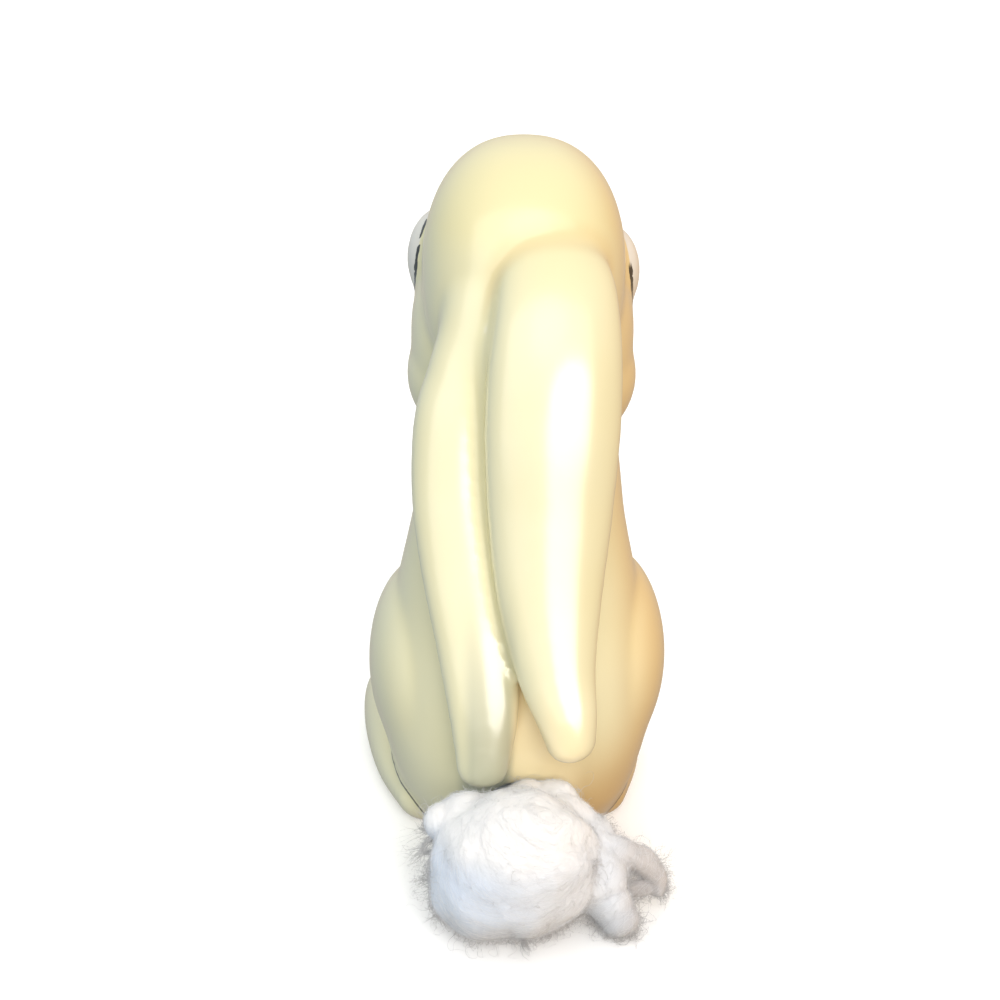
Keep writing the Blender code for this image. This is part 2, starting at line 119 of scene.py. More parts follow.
flat = math.cos(ELEVATION)
back = Vector((math.sin(AZIMUTH) * flat, math.cos(AZIMUTH) * flat, math.sin(ELEVATION)))
level = Vector((-math.cos(AZIMUTH), math.sin(AZIMUTH), 0.0))
above = back.cross(level)
right = level * math.cos(ROLL) + above * math.sin(ROLL)
up = above * math.cos(ROLL) - level * math.sin(ROLL)
camera = linked("camera", bpy.data.cameras.new("camera"))
turned = Matrix((right, up, back)).transposed().to_4x4()
camera.matrix_world = Matrix.Translation(TARGET + back * DISTANCE) @ turned
camera.data.sensor_width = SENSOR
camera.data.lens = FOCAL_PIXELS / FRAME_PIXELS * SENSOR
camera.data.shift_x = (FRAME_PIXELS / 2 - MIDDLE_X) / FRAME_PIXELS
camera.data.shift_y = (MIDDLE_Y - FRAME_PIXELS / 2) / FRAME_PIXELS
bpy.context.scene.camera = camera
print("camera at", [round(value, 3) for value in camera.location], "lens", round(camera.data.lens, 2))

# %% [markdown]
# In the photograph the light comes from behind the camera, so the middle of the back is nearly
# white and both sides turn darker, the right one warm and the left one cool. Lamps that do it all
# at once are hard to balance, so the work is shared. Two soft far lights, a strong one on the back
# and a weak one on the face, give no mirror image. Two lamps are seen in the glaze as its long
# highlights and light nothing else. A sky that is warm on one side and cool on the other tints the
# sides, and the camera sees a plain pale backdrop in its place.

# %% Lights
FAR_LIGHTS = (  # name, degrees round from behind, degrees up, width in degrees, strength, colour
    ("sun", -4, 34, 40, 2.7, (1.0, 0.98, 0.94)),
    ("face_light", 172, 14, 50, 1.3, (1.0, 0.99, 0.97)),
)
MIRRORED = (  # name, shape, place from the target, size, power, colour
    ("window", "ELLIPSE", (-0.50, 0.88, -0.02), (0.80, 0.60), 9.0, (1.0, 0.985, 0.95)),
    ("wall", "RECTANGLE", (0.15, 2.2, 0.75), (7.5, 3.2), 115.0, (1.0, 1.0, 0.98)),
)


def lamp(name, kind, energy, colour):
    """A lamp of one kind."""
    made = linked(name, bpy.data.lights.new(name, kind))
    made.data.energy = energy
    made.data.color = colour
    return made


for name, side, height, width, energy, colour in FAR_LIGHTS:
    made = lamp(name, "SUN", energy, colour)
    made.data.angle = math.radians(width)
    made.rotation_euler = (math.radians(90 - height), 0.0, math.radians(180 - side))
    made.visible_glossy = False
for name, shape, away, size, energy, colour in MIRRORED:
    made = lamp(name, "AREA", energy, colour)
    made.data.shape = shape
    made.data.size, made.data.size_y = size
    made.location = TARGET + Vector(away)
    made.rotation_euler = (TARGET - made.location).to_track_quat("-Z", "Y").to_euler()
    made.visible_diffuse = False
print(len(FAR_LIGHTS) + len(MIRRORED), "lamps")

# %% The sky
WARM_SIDE, COOL_SIDE, OVERHEAD = (0.86, 0.60, 0.36), (0.53, 0.63, 0.67), (0.80, 0.82, 0.84)
BACKDROP = (0.96, 0.96, 0.96)
FROM_BELOW = 0.70  # how bright the sky is under the horizon


def add(tree, kind, inputs=(), **settings):
    """Adds a node. Each input is a plain value, or the output of another node."""
    made = tree.nodes.new(kind)
    for name, value in settings.items():
        setattr(made, name, value)
    for name, value in dict(inputs).items():
        socket = made.inputs[name]
        if isinstance(value, bpy.types.NodeSocket):
            tree.links.new(value, socket)
        else:
            socket.default_value = value
    return made


def mixed(tree, share, low, high):
    """A colour between two, by a share. Each is three numbers or the output of a node."""
    ends = [end if isinstance(end, bpy.types.NodeSocket) else (*end, 1.0) for end in (low, high)]
    return add(tree, "ShaderNodeMix", {0: share, 6: ends[0], 7: ends[1]}, data_type="RGBA").outputs[2]


def spread(tree, value, low=0.0, high=1.0, least=0.0, most=1.0):
    """Takes low to high evenly to least to most, and stays there beyond."""
    ends = {"From Min": low, "From Max": high, "To Min": least, "To Max": most}
    return add(tree, "ShaderNodeMapRange", {"Value": value, **ends}).outputs[0]


sky = bpy.data.worlds.new("studio")
bpy.context.scene.world = sky
sky.use_nodes = True
tree = sky.node_tree
tree.nodes.clear()
way = add(tree, "ShaderNodeSeparateXYZ", {0: add(tree, "ShaderNodeTexCoord").outputs["Generated"]}).outputs
sides = mixed(tree, spread(tree, way["X"], -0.7, 0.7), WARM_SIDE, COOL_SIDE)
dimmed = {0: sides, "Scale": spread(tree, way["Z"], -0.5, 0.1, FROM_BELOW)}
sides = add(tree, "ShaderNodeVectorMath", dimmed, operation="SCALE").outputs[0]
around = mixed(tree, spread(tree, way["Z"], 0.1, 0.8), sides, OVERHEAD)
seen = add(tree, "ShaderNodeLightPath").outputs["Is Camera Ray"]
shine = add(tree, "ShaderNodeBackground", {"Color": mixed(tree, seen, around, BACKDROP)})
tree.links.new(shine.outputs[0], add(tree, "ShaderNodeOutputWorld").inputs[0])
bpy.context.scene.view_settings.view_transform = "Standard"
print("the sky has", len(tree.nodes), "nodes")

# %% [markdown]
# The floor takes the soft shadow and nothing else: the glaze neither mirrors it nor gets light
# from it, and a weak glow of its own keeps it as pale as the backdrop.

# %% A pale floor
def new_piece(name, mesh, smooth=True):
    """Makes an object from a bmesh."""
    data = bpy.data.meshes.new(name)
    mesh.to_mesh(data)
    mesh.free()
    if smooth:
        data.shade_smooth()
    return linked(name, data)


def new_material(name, constants):
    """A material with constant values, its node tree, and the inputs of its shader."""
    made = bpy.data.materials.new(name)
    made.use_nodes = True
    inputs = made.node_tree.nodes["Principled BSDF"].inputs
    for label, value in constants.items():
        inputs[label].default_value = value
    return made, made.node_tree, inputs


mesh = bmesh.new()
bmesh.ops.create_grid(mesh, x_segments=1, y_segments=1, size=6.0)
floor = new_piece("floor", mesh, smooth=False)
glow = {"Emission Color": (1.0, 1.0, 1.0, 1.0), "Emission Strength": 0.14}
floor_paint, _, _ = new_material("pale_floor", {"Base Color": (0.90, 0.90, 0.905, 1.0), "Roughness": 0.7, **glow})
floor.data.materials.append(floor_paint)
floor.visible_diffuse = floor.visible_glossy = False
floor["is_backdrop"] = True
print("floor of", round(floor.dimensions.x, 1), "m")

# %% [markdown]
# ## The forms of the rabbit
#
# A potter's model is built from simple swellings: trunk, haunches, head, cheeks, snout, limbs and
# ears. Each could be sculpted, or lofted from sections. Here every form is a short table in
# millimetres, from the middle of the base, because numbers are easy to correct against the
# photograph. The forms overlap, and melting them together comes later.

# %% Tables of the forms
TRUNK = (  # height, half width, front, back
    (-6, 21.0, -25.0, 22.0),
    (4, 28.0, -31.0, 30.0),
    (13, 32.5, -34.5, 35.5),
    (28, 35.8, -36.0, 39.0),
    (48, 34.8, -36.0, 39.0),
    (68, 30.8, -34.5, 34.0),
    (85, 27.2, -32.0, 27.5),
    (103, 24.8, -27.0, 22.0),
    (122, 20.5, -20.0, 15.0),
)
LEFT_HAUNCH = (24.0, -3.0, 41.0), (30.0, 56.0, 55.0)
RIGHT_HAUNCH = (-24.7, -3.0, 43.0), (30.0, 56.0, 56.0)
HAUNCH_LEAN = math.radians(8)
CRANIUM = (0.0, -4.5, 146.5), (50.5, 59.0, 67.0)
TEMPLES = (0.0, -14.0, 128.0), (57.0, 55.0, 62.0)
JOWL = (0.0, -12.0, 118.0), (59.0, 50.0, 46.0)
SNOUT = (0.0, -26.0, 129.0), (36.0, 38.0, 36.0)
LIP = (5.5, -37.5, 123.5), (17.0, 19.0, 15.0)
NOSE = (0.0, -45.5, 131.8), (10.0, 8.0, 6.8)
LEFT_EYE = (20.3, -18.5, 146.2), (19.0, 20.0, 26.6)
RIGHT_EYE = (-20.3, -18.5, 143.4), (19.0, 20.0, 25.6)
HEAD_TURN = math.radians(-5)
HEAD_SQUARENESS = 2.3  # of cranium and temples
LEFT_EAR = (  # x, y, z, half width, half thickness
    (7.0, 8.0, 156, 8.0, 8.0),
    (10.2, 14.8, 146, 9.5, 9.0),
    (12.0, 17.2, 137, 9.8, 9.0),
    (14.8, 19.8, 127, 9.9, 8.8),
    (17.6, 22.6, 117, 10.2, 8.5),
    (17.8, 26.4, 101, 10.8, 8.0),
    (15.8, 31.5, 84, 10.9, 7.2),
    (13.0, 37.5, 66, 10.2, 6.6),
    (11.4, 42.5, 49, 8.8, 5.8),
    (11.6, 45.0, 34.5, 6.6, 5.0),
)
RIGHT_EAR = (
    (-5.5, 11.5, 156, 11.5, 8.0),
    (-6.0, 23.0, 151, 14.2, 9.5),
    (-5.3, 31.0, 138, 16.0, 10.0),
    (-4.6, 35.5, 120, 16.6, 9.4),
    (-4.2, 38.5, 99, 15.4, 8.6),
    (-4.2, 42.0, 80, 13.2, 7.6),
    (-5.7, 46.0, 62, 10.1, 6.6),
    (-8.2, 49.0, 51, 7.9, 5.8),
    (-9.4, 50.0, 44, 6.4, 5.2),
)
RIGHT_EAR_TWIST = math.radians(-10)
EAR_SLIP = (  # slip that fills the gap where the right ear lies over the left one
    (8.8, 26.5, 136, 4.0, 3.6),
    (8.6, 28.2, 128, 4.6, 4.0),
    (8.2, 30.0, 117, 4.6, 4.0),
    (8.2, 33.2, 101, 4.2, 3.5),
    (7.4, 36.2, 89, 3.5, 3.0),
    (7.0, 39.0, 78, 2.7, 2.3),
    (7.0, 41.2, 69, 1.7, 1.5),
)
FORELEG = (
    (14.0, -12.0, 90.0, 10.0, 10.0),
    (15.0, -26.0, 68.0, 10.0, 11.0),
    (14.2, -35.0, 44.0, 8.0, 8.5),
    (13.0, -40.0, 20.0, 7.0, 7.2),
    (12.8, -44.0, 4.5, 8.5, 10.0),
)
FEET_SHIFT = 1.1  # both hind feet stand a little to the left
HIND_FOOT = (
    (22.5, 8.0, 6.0, 8.5, 7.0),
    (25.0, -8.0, 7.0, 11.2, 9.5),
    (26.8, -27.0, 8.0, 12.2, 12.0),
    (27.5, -43.0, 8.0, 11.8, 12.5),
    (27.2, -52.0, 7.0, 10.5, 11.0),
)
WALL, FLOOR = 4.0, 4.5  # thickness of the clay at the sides and in the base
HOLE_WIDTH, HOLE_Z = 21.5, 15.8
RECESS_WIDTH, RECESS_LENGTH, RECESS_DEPTH = 30.5, 37.5, 2.0
UNDER, FAR_UNDER, WIDE = -40, -90, 400  # well below the shelf, and wider than the rabbit
print(len(TRUNK), "sections of the trunk and", len(LEFT_EAR) + len(RIGHT_EAR), "of the ears")

# %% [markdown]
# Three builders are enough for all of it: a loft through rings of points, an egg-like form, and a
# limb that follows its stations along a smooth curve and ends round.

# %% Builders of closed forms
def turns(count):
    """Angles at equal steps, once round."""
    return [math.tau * step / count for step in range(count)]


def loft(mesh, rows):
    """Joins rings of points with quads, and closes both ends."""
    rings = [[mesh.verts.new(point) for point in row] for row in rows]
    for low, high in zip(rings, rings[1:]):
        for here in range(len(low)):
            after = (here + 1) % len(low)
            mesh.faces.new((low[here], low[after], high[after], high[here]))
    mesh.faces.new(rings[0][::-1])
    mesh.faces.new(rings[-1])


def egg(mesh, centre, size, squareness=2.0, turn=(0.0, 0.0, 0.0), sides=48, rings=32):
    """A closed egg-like form. Squareness 2 makes an ellipsoid, and more makes it boxier."""
    place = Matrix.Translation(centre) @ Euler(turn).to_matrix().to_4x4()

    def bent(value):
        return math.copysign(abs(value) ** (2.0 / squareness), value)

    rows = []
    for ring in range(rings):
        latitude = math.pi * ((ring + 0.5) / rings - 0.5)
        row = []
        flat = bent(math.cos(latitude))
        for angle in turns(sides):
            unit = (flat * bent(math.cos(angle)), flat * bent(math.sin(angle)), bent(math.sin(latitude)))
            row.append(place @ Vector([half * length / 2 for half, length in zip(unit, size)]))
        rows.append(row)
    loft(mesh, rows)


def eased(stations, position):
    """Reads a table at a fractional position, along a smooth curve through its rows."""
    index = min(max(int(position), 0), len(stations) - 2)
    share = position - index
    rows = [stations[min(max(index + step, 0), len(stations) - 1)] for step in (-1, 0, 1, 2)]
    a, b, c, d = (np.array(row, float) for row in rows)
    bend = (2 * a - 5 * b + 4 * c - d) * share**2
    return 0.5 * (2 * b + (c - a) * share + bend + (3 * b - 3 * c + d - a) * share**3)


def limb(mesh, stations, side=1, twist=0.0, shift=0.0, sides=28, between=6, caps=8):
    """A limb along its stations, with both ends rounded. Side -1 mirrors it to -X."""
    count = (len(stations) - 1) * between
    samples = [eased(stations, step / between) for step in range(count + 1)]
    points = [Vector((side * s[0] + shift, s[1], s[2])) for s in samples]
    rings = []
    for index, sample in enumerate(samples):
        along = (points[min(index + 1, count)] - points[max(index - 1, 0)]).normalized()
        rings.append((points[index], along, sample[3], sample[4]))

    def cap(ring, outwards):
        centre, along, width, thickness = ring
        for step in range(1, caps):
            angle = math.pi / 2 * step / caps
            shrink = math.cos(angle)
            reach = outwards * min(width, thickness) * math.sin(angle)
            yield centre + along * reach, along, width * shrink, thickness * shrink

    rows = []
    for centre, along, width, thickness in [*list(cap(rings[0], -1))[::-1], *rings, *cap(rings[-1], 1)]:
        wide = (Vector((1.0, 0.0, 0.0)) - along * along.x).normalized()
        wide = Matrix.Rotation(twist, 3, along) @ wide
        thick = along.cross(wide)
        rows.append([centre + wide * (width * math.cos(a)) + thick * (thickness * math.sin(a)) for a in turns(sides)])
    loft(mesh, rows)


print("builders: loft, egg, limb")

# %% [markdown]
# The hollow body is the same forms twice: once as they are, and once smaller by the thickness of
# the clay. Two small functions add them, so that the chamber always follows the outside.

# %% Body, chamber and limbs as forms
def head_egg(mesh, form, side=1, inset=0.0, squareness=2.0):
    """A form of the head, which is turned a little to one side."""
    (x, y, z), size = form
    turned = Matrix.Rotation(HEAD_TURN, 3, "Z") @ Vector((x * side, y, z))
    egg(mesh, turned, [length - 2 * inset for length in size], squareness, (0.0, 0.0, HEAD_TURN))


def trunk(mesh, bottom, inset, sides=64, steps=48):
    """The trunk from a height up to the neck."""
    heights = [row[0] for row in TRUNK]
    rows = []
    for step in range(steps + 1):
        height = bottom + (heights[-1] - bottom) * step / steps
        position = float(np.interp(height, heights, range(len(heights))))
        _, width, front, rear = eased(TRUNK, position)
        row = []
        for angle in turns(sides):
            reach = (rear if math.sin(angle) > 0 else -front) - inset
            row.append(((width - inset) * math.cos(angle), reach * math.sin(angle), height))
        rows.append(row)
    loft(mesh, rows)


def body_forms(mesh, bottom, inset):
    """Trunk, haunches and head, all smaller by an inset."""
    trunk(mesh, bottom, inset)
    for form in (CRANIUM, TEMPLES):
        head_egg(mesh, form, inset=inset, squareness=HEAD_SQUARENESS)
    for form in (JOWL, SNOUT):
        head_egg(mesh, form, inset=inset)
    for place, size in (LEFT_HAUNCH, RIGHT_HAUNCH):
        egg(mesh, place, [length - 2 * inset for length in size], turn=(HAUNCH_LEAN, 0.0, 0.0))


def outer_forms(mesh):
    """Everything that the glaze covers."""
    body_forms(mesh, TRUNK[0][0], 0.0)
    for side in (-1, 1):
        head_egg(mesh, LIP, side)
        limb(mesh, FORELEG, side)
        limb(mesh, HIND_FOOT, side, shift=FEET_SHIFT)
    for form in (LEFT_EYE, RIGHT_EYE, NOSE):
        head_egg(mesh, form)
    limb(mesh, LEFT_EAR)
    limb(mesh, RIGHT_EAR, twist=RIGHT_EAR_TWIST)
    limb(mesh, EAR_SLIP)


def to_metres(mesh):
    """Takes a bmesh from the tables' millimetres to its place in the frame."""
    bmesh.ops.scale(mesh, verts=mesh.verts, vec=(MM, MM, MM))
    bmesh.ops.translate(mesh, verts=mesh.verts, vec=(0.0, AXIS_Y, 0.0))
    bmesh.ops.recalc_face_normals(mesh, faces=mesh.faces)


def settled(made):
    """Applies an object's modifiers."""
    seen = bpy.context.evaluated_depsgraph_get()
    data = bpy.data.meshes.new_from_object(made.evaluated_get(seen))
    made.modifiers.clear()
    made.data = data
    return made


def melted(made, grain):
    """Melts an object's overlapping forms into one skin at a grain."""
    melt = made.modifiers.new("melt", "REMESH")
    melt.mode = "VOXEL"
    melt.voxel_size = grain * MM
    return settled(made)


def built(name, build, grain=None):
    """An object of forms, melted together if there is a grain."""
    mesh = bmesh.new()
    build(mesh)
    to_metres(mesh)
    made = new_piece(name, mesh)
    return melted(made, grain) if grain else made


def search_tree(made):
    """Finds the nearest place on an object."""
    return BVHTree.FromPolygons([v.co for v in made.data.vertices], [p.vertices for p in made.data.polygons])


rabbit = built("glazed_rabbit", outer_forms, 1.0)
fused = search_tree(rabbit)
print("melted skin:", len(rabbit.data.vertices), "points")

# %% [markdown]
# The casting is hollow. Its chamber, the tail hole, the filler hole, the recess under the base and
# everything below the shelf are cut away. Melting it a second time rounds every cut edge a little,
# as glaze does, and gives an even mesh, which smooths well.

# %% Hollow the casting
SKIN_GRAIN = 0.9


def tube(mesh, start, end, width, length=None, sides=64):
    """A round or oval plug between two points, along Y or Z."""
    along = Vector(end) - Vector(start)
    turn = Vector((0.0, 0.0, 1.0)).rotation_difference(along).to_matrix()
    rows = []
    for share in (0.0, 1.0):
        middle = Vector(start) + along * share
        row = []
        for angle in turns(sides):
            flat = Vector((width / 2 * math.cos(angle), (length or width) / 2 * math.sin(angle), 0.0))
            row.append(middle + turn @ flat)
        rows.append(row)
    loft(mesh, rows)


def cut(made, name, build, grain=None):
    """Cuts forms away from an object."""
    cutter = built(name, build, grain)
    remove = made.modifiers.new(name, "BOOLEAN")
    remove.operation = "DIFFERENCE"
    remove.solver = "EXACT"
    remove.object = cutter
    settled(made)
    bpy.data.objects.remove(cutter)


TUBES = (  # name, start, end, width, length
    ("tail_hole", (0, 0, HOLE_Z), (0, 60, HOLE_Z), HOLE_WIDTH, None),
    ("filler_hole", (0, 0, UNDER), (0, 0, 8), HOLE_WIDTH, None),
    ("recess", (0, 0, UNDER), (0, 0, RECESS_DEPTH), RECESS_WIDTH, RECESS_LENGTH),
    ("below_shelf", (0, 0, FAR_UNDER), (0, 0, 0), WIDE, None),
)
cut(rabbit, "chamber", lambda mesh: body_forms(mesh, FLOOR, WALL), 1.6)
for name, *sizes in TUBES:
    cut(rabbit, name, lambda mesh: tube(mesh, *sizes))
melted(rabbit, SKIN_GRAIN)
print("hollow skin:", len(rabbit.data.vertices), "points")

# %% [markdown]
# Where clay parts are joined with slip, the potter wipes the joint with a wet sponge. Some joints
# on this rabbit are wiped quite away, such as the top of the left ear, and others stay as a
# crease. Smoothing moves each point towards the middle of its neighbours. A share for each point
# says how strongly, so that one pass can be gentle everywhere and strong at the wiped joints.

# %% Smooth the skin
WIPED = (  # x, y, z, reach, rounds
    (12.0, 23.0, 141.0, 15.0, 90),
    (31.0, 14.0, 30.0, 22.0, 60),
    (-31.0, 14.0, 30.0, 22.0, 60),
    (15.0, -24.0, 80.0, 16.0, 30),
    (-15.0, -24.0, 80.0, 16.0, 30),
    (0.0, -28.0, 118.0, 16.0, 20),
)


def mesh_arrays(made):
    """The points, edges and normals of an object."""
    data = made.data
    points, normals = np.empty((2, len(data.vertices) * 3))
    data.vertices.foreach_get("co", points)
    data.vertex_normals.foreach_get("vector", normals)
    edges = np.empty(len(data.edges) * 2, np.int64)
    data.edges.foreach_get("vertices", edges)
    return points.reshape(-1, 3), edges.reshape(-1, 2), normals.reshape(-1, 3)


def keep_points(made, points):
    """Puts changed points back into an object."""
    made.data.vertices.foreach_set("co", points.ravel())
    made.data.update()
    made.data.shade_smooth()


def keep_values(made, name, kind, field, values):
    """Keeps values for each point on the mesh, where a material can read them."""
    kept = made.data.attributes.new(name, kind, "POINT")
    kept.data.foreach_set(field, values.ravel())


def neighbour_mean(values, edges):
    """The mean of each point's neighbours."""
    first, second = edges.T
    count = len(values)
    total = np.empty_like(values)
    for axis in range(values.shape[1]):
        total[:, axis] = np.bincount(first, values[second, axis], count)
        total[:, axis] += np.bincount(second, values[first, axis], count)
    near = np.bincount(first, minlength=count) + np.bincount(second, minlength=count)
    return total / np.maximum(near, 1)[:, None]


def relax(points, edges, share, rounds):
    """Moves values towards the mean of their neighbours, some times over."""
    for _ in range(rounds):
        points = points + share * (neighbour_mean(points, edges) - points)
    return points


def near_to(points, place, reach):
    """1 at a place of the tables, falling smoothly to 0 at a distance."""
    middle = np.array([place[0] * MM, place[1] * MM + AXIS_Y, place[2] * MM])
    share = np.clip(1 - np.linalg.norm(points - middle, axis=1) / (reach * MM), 0, 1)
    return (share * share * (3 - 2 * share))[:, None]


points, edges, _ = mesh_arrays(rabbit)
points = relax(points, edges, 0.5, 9)
for x, y, z, reach, rounds in WIPED:
    points = relax(points, edges, 0.6 * near_to(points, (x, y, z), reach), rounds)
keep_points(rabbit, points)
print("smoothed", len(points), "points")

# %% [markdown]
# Fired glaze runs off ridges and gathers in hollows, where its colour is deeper. The shader could
# use Pointiness for this, which only one render engine has. Measuring the mesh is as easy: a point
# that lies below the mean of its neighbours is in a hollow. The result is kept on the mesh, with
# three more: which points are inside the chamber, where no glaze was poured, how far each point is
# from the joint of a hind foot, and how far from the joint of the right ear.

# %% Measure hollows, the inside and two joints
INSIDE_FROM = 1.6  # a point this far from the first skin, in millimetres, is in the chamber or a hole
NEAR_JOINT, FAR_OFF = 3.0, 9.0  # beyond the first, the foot's joint counts as far off
_, _, normals = mesh_arrays(rabbit)
blurred = relax(points, edges, 0.5, 10)
hollow = ((blurred - points) * normals).sum(axis=1)[:, None] / (SKIN_GRAIN * MM)
hollow = relax(hollow, edges, 0.5, 6)
inside = np.array([[float(fused.find_nearest(Vector(point))[3] > INSIDE_FROM * MM)] for point in points])
inside = relax(inside, edges, 0.5, 3)


def distances(build, grain=None):
    """Each point's distance from the skin of some of the forms, in millimetres."""
    made = built("forms", build, grain)
    tree = search_tree(made)
    bpy.data.objects.remove(made)
    return np.array([[tree.find_nearest(Vector(point))[3] / MM] for point in points])


def both_feet(mesh):
    """The two hind feet alone."""
    for side in (-1, 1):
        limb(mesh, HIND_FOOT, side, shift=FEET_SHIFT)


from_body = distances(lambda mesh: body_forms(mesh, TRUNK[0][0], 0.0), 1.2)
from_feet = distances(both_feet)
from_ear = distances(lambda mesh: limb(mesh, RIGHT_EAR, twist=RIGHT_EAR_TWIST))
near_foot = np.maximum(from_body, from_feet) < NEAR_JOINT
foot_joint = np.where(near_foot, from_body - from_feet, FAR_OFF)
ear_joint = np.maximum(from_body, from_ear)
measured = {"hollow": hollow, "inside": inside, "foot_joint": foot_joint, "ear_joint": ear_joint}
for name, values in measured.items():
    keep_values(rabbit, name, "FLOAT", "value", values)
print("hollow from", hollow.min().round(3), "to", hollow.max().round(3), "inside", int(inside.sum()))

# %% [markdown]
# ## Glaze
#
# The glaze is a clear coat with cream colour in it. Effects that more than one finish uses are
# node groups: `mottle` gives slow, uneven change over the surface, and `grain` a fine height for
# bump. Both are built once and get their own values in each finish.

# %% The shared groups
def new_group(name, inputs, outputs):
    """An empty shader node group with named sockets. Each input is a name, a type and a value."""
    tree = bpy.data.node_groups.new(name, "ShaderNodeTree")
    for label, kind, value in inputs:
        socket = tree.interface.new_socket(name=label, in_out="INPUT", socket_type="NodeSocket" + kind)
        if value is not None:
            socket.default_value = value
    for label, kind in outputs:
        tree.interface.new_socket(name=label, in_out="OUTPUT", socket_type="NodeSocket" + kind)
    return tree, add(tree, "NodeGroupInput").outputs, add(tree, "NodeGroupOutput").inputs


def place_group(tree, group, inputs):
    """Adds a node group, and gives its outputs."""
    return add(tree, "ShaderNodeGroup", inputs, node_tree=group).outputs


def maths(tree, operation, first, second=0.0, third=0.0):
    """One step of arithmetic."""
    return add(tree, "ShaderNodeMath", {0: first, 1: second, 2: third}, operation=operation).outputs[0]


def product(tree, first, *others):
    """All shares multiplied."""
    for other in others:
        first = maths(tree, "MULTIPLY", first, other)
    return first


def ramp(tree, value, low, high):
    """0 below low and 1 above high, smoothly. It falls if low is the greater."""
    ends = {"Value": value, "From Min": low, "From Max": high}
    return add(tree, "ShaderNodeMapRange", ends, interpolation_type="SMOOTHSTEP").outputs[0]


def bumped(tree, surface, height, strength, distance):
    """Gives a shader a bump from a height."""
    bump = add(tree, "ShaderNodeBump", {"Height": height, "Strength": strength, "Distance": distance})
    tree.links.new(bump.outputs[0], surface["Normal"])


def band(tree, value, low, high):
    """A ramp between two places in millimetres."""
    return ramp(tree, value, low * MM, high * MM)


def tinted(tree, colour, rows):
    """Changes a colour. A row is the new colour, its strength, and bands that say where."""
    for tint, strength, *bands in rows:
        share = product(tree, *(band(tree, *row) for row in bands), strength)
        colour = mixed(tree, share, colour, tint)
    return colour


def noise_map(tree, place, scale, detail, **more):
    """The value of a noise texture."""
    return add(tree, "ShaderNodeTexNoise", {"Vector": place, "Scale": scale, "Detail": detail, **more}).outputs[0]


mottle, given, gives = new_group(
    "mottle", [("Place", "Vector", None), ("Scale", "Float", 40.0), ("Amount", "Float", 1.0)], [("Value", "Float")]
)
slow = noise_map(mottle, given["Place"], given["Scale"], 3.0, Roughness=0.55)
mottle.links.new(product(mottle, maths(mottle, "SUBTRACT", slow, 0.5), given["Amount"]), gives["Value"])

grain, given, gives = new_group(
    "grain", [("Place", "Vector", None), ("Scale", "Float", 900.0), ("Detail", "Float", 4.0)], [("Height", "Float")]
)
grain.links.new(noise_map(grain, given["Place"], given["Scale"], given["Detail"]), gives["Height"])
print("shared groups:", [group.name for group in bpy.data.node_groups])

# %% [markdown]
# The cream isn't the same everywhere. It is deeper where the glaze is thick, and towards the top of
# the head. The rest is painted light and shade: warm light on the right flank, which the photograph
# shows nearly golden, shade at its lower end, at the left ear's end and in the crease round the
# right ear's top, and light on the rump between the ears' ends and the tail. Noise alone wouldn't
# put it there, and light alone can't reach these places separately. So each change is a row of a
# table: a colour, its strength, and bands of the coordinates in which it fades in.

# %% Where the glaze changes, with painted light and shade
THIN_GLAZE, DEEP_GLAZE = (0.70, 0.665, 0.455), (0.70, 0.635, 0.36)
glaze, tree, surface = new_material("cream_glaze", {"Coat Roughness": 0.21, "Coat IOR": 1.52, "IOR": 1.45})
place = add(tree, "ShaderNodeTexCoord").outputs["Object"]
from_axis = add(tree, "ShaderNodeVectorMath", {0: place, 1: (0.0, AXIS_Y, 0.0)}, operation="SUBTRACT").outputs[0]
x, y, z = add(tree, "ShaderNodeSeparateXYZ", {0: from_axis}).outputs


def reading(name):
    """A value that was measured on the mesh."""
    return add(tree, "ShaderNodeAttribute", attribute_name=name).outputs["Fac"]


clouds = place_group(tree, mottle, {"Place": place, "Scale": 26.0, "Amount": 0.9})[0]
depth = maths(tree, "ADD", ramp(tree, reading("hollow"), -0.22, 0.30), clouds)
# deeper towards the top of the head as well
depth = maths(tree, "ADD", depth, band(tree, z, 146, 168))
rightwards = maths(tree, "MULTIPLY", x, -1.0)
leaning = maths(tree, "MULTIPLY_ADD", y, -0.45, rightwards)
aside = maths(tree, "ABSOLUTE", maths(tree, "ADD", x, 3 * MM))
from_joint = maths(tree, "MULTIPLY", reading("ear_joint"), MM)
GLAZE_PAINTED_LIGHT_AND_SHADE = (
    ((0.66, 0.52, 0.27), 0.55, (from_joint, 4.5, 0.8), (z, 135, 150)),  # painted shade in the crease round the right ear's top
    ((0.66, 0.46, 0.20), 0.75, (leaning, 4, 30), (y, -30, -8)),  # painted warm light on the right flank
    ((0.56, 0.38, 0.16), 1.0, (rightwards, -16, 12), (z, 44, 10), (y, -10, 10)),  # painted warm shade at its lower end
    ((0.84, 0.73, 0.46), 1.0, (aside, 13, 5), (z, 64, 44), (y, 25, 35)),  # painted light on the rump, which lies in shade between the ears' ends and the tail
    ((0.42, 0.42, 0.30), 1.0, (x, 3, 6), (x, 18, 14), (z, 90, 40), (y, 20, 32)),  # painted shade at the left ear's end
)
colour = tinted(tree, mixed(tree, depth, THIN_GLAZE, DEEP_GLAZE), GLAZE_PAINTED_LIGHT_AND_SHADE)
print("glaze tinted at", len(GLAZE_PAINTED_LIGHT_AND_SHADE), "places")

# %% [markdown]
# The eyes and the nose are painted under the glaze with a brush. A picture could be wrapped round
# the head, but the marks are few, so each is drawn from the surface's own place: the head is
# turned straight, both halves are folded onto one, and each mark is where the skin passes through
# an egg-like space. Noise frays the black line and breaks it, as a nearly dry brush does.

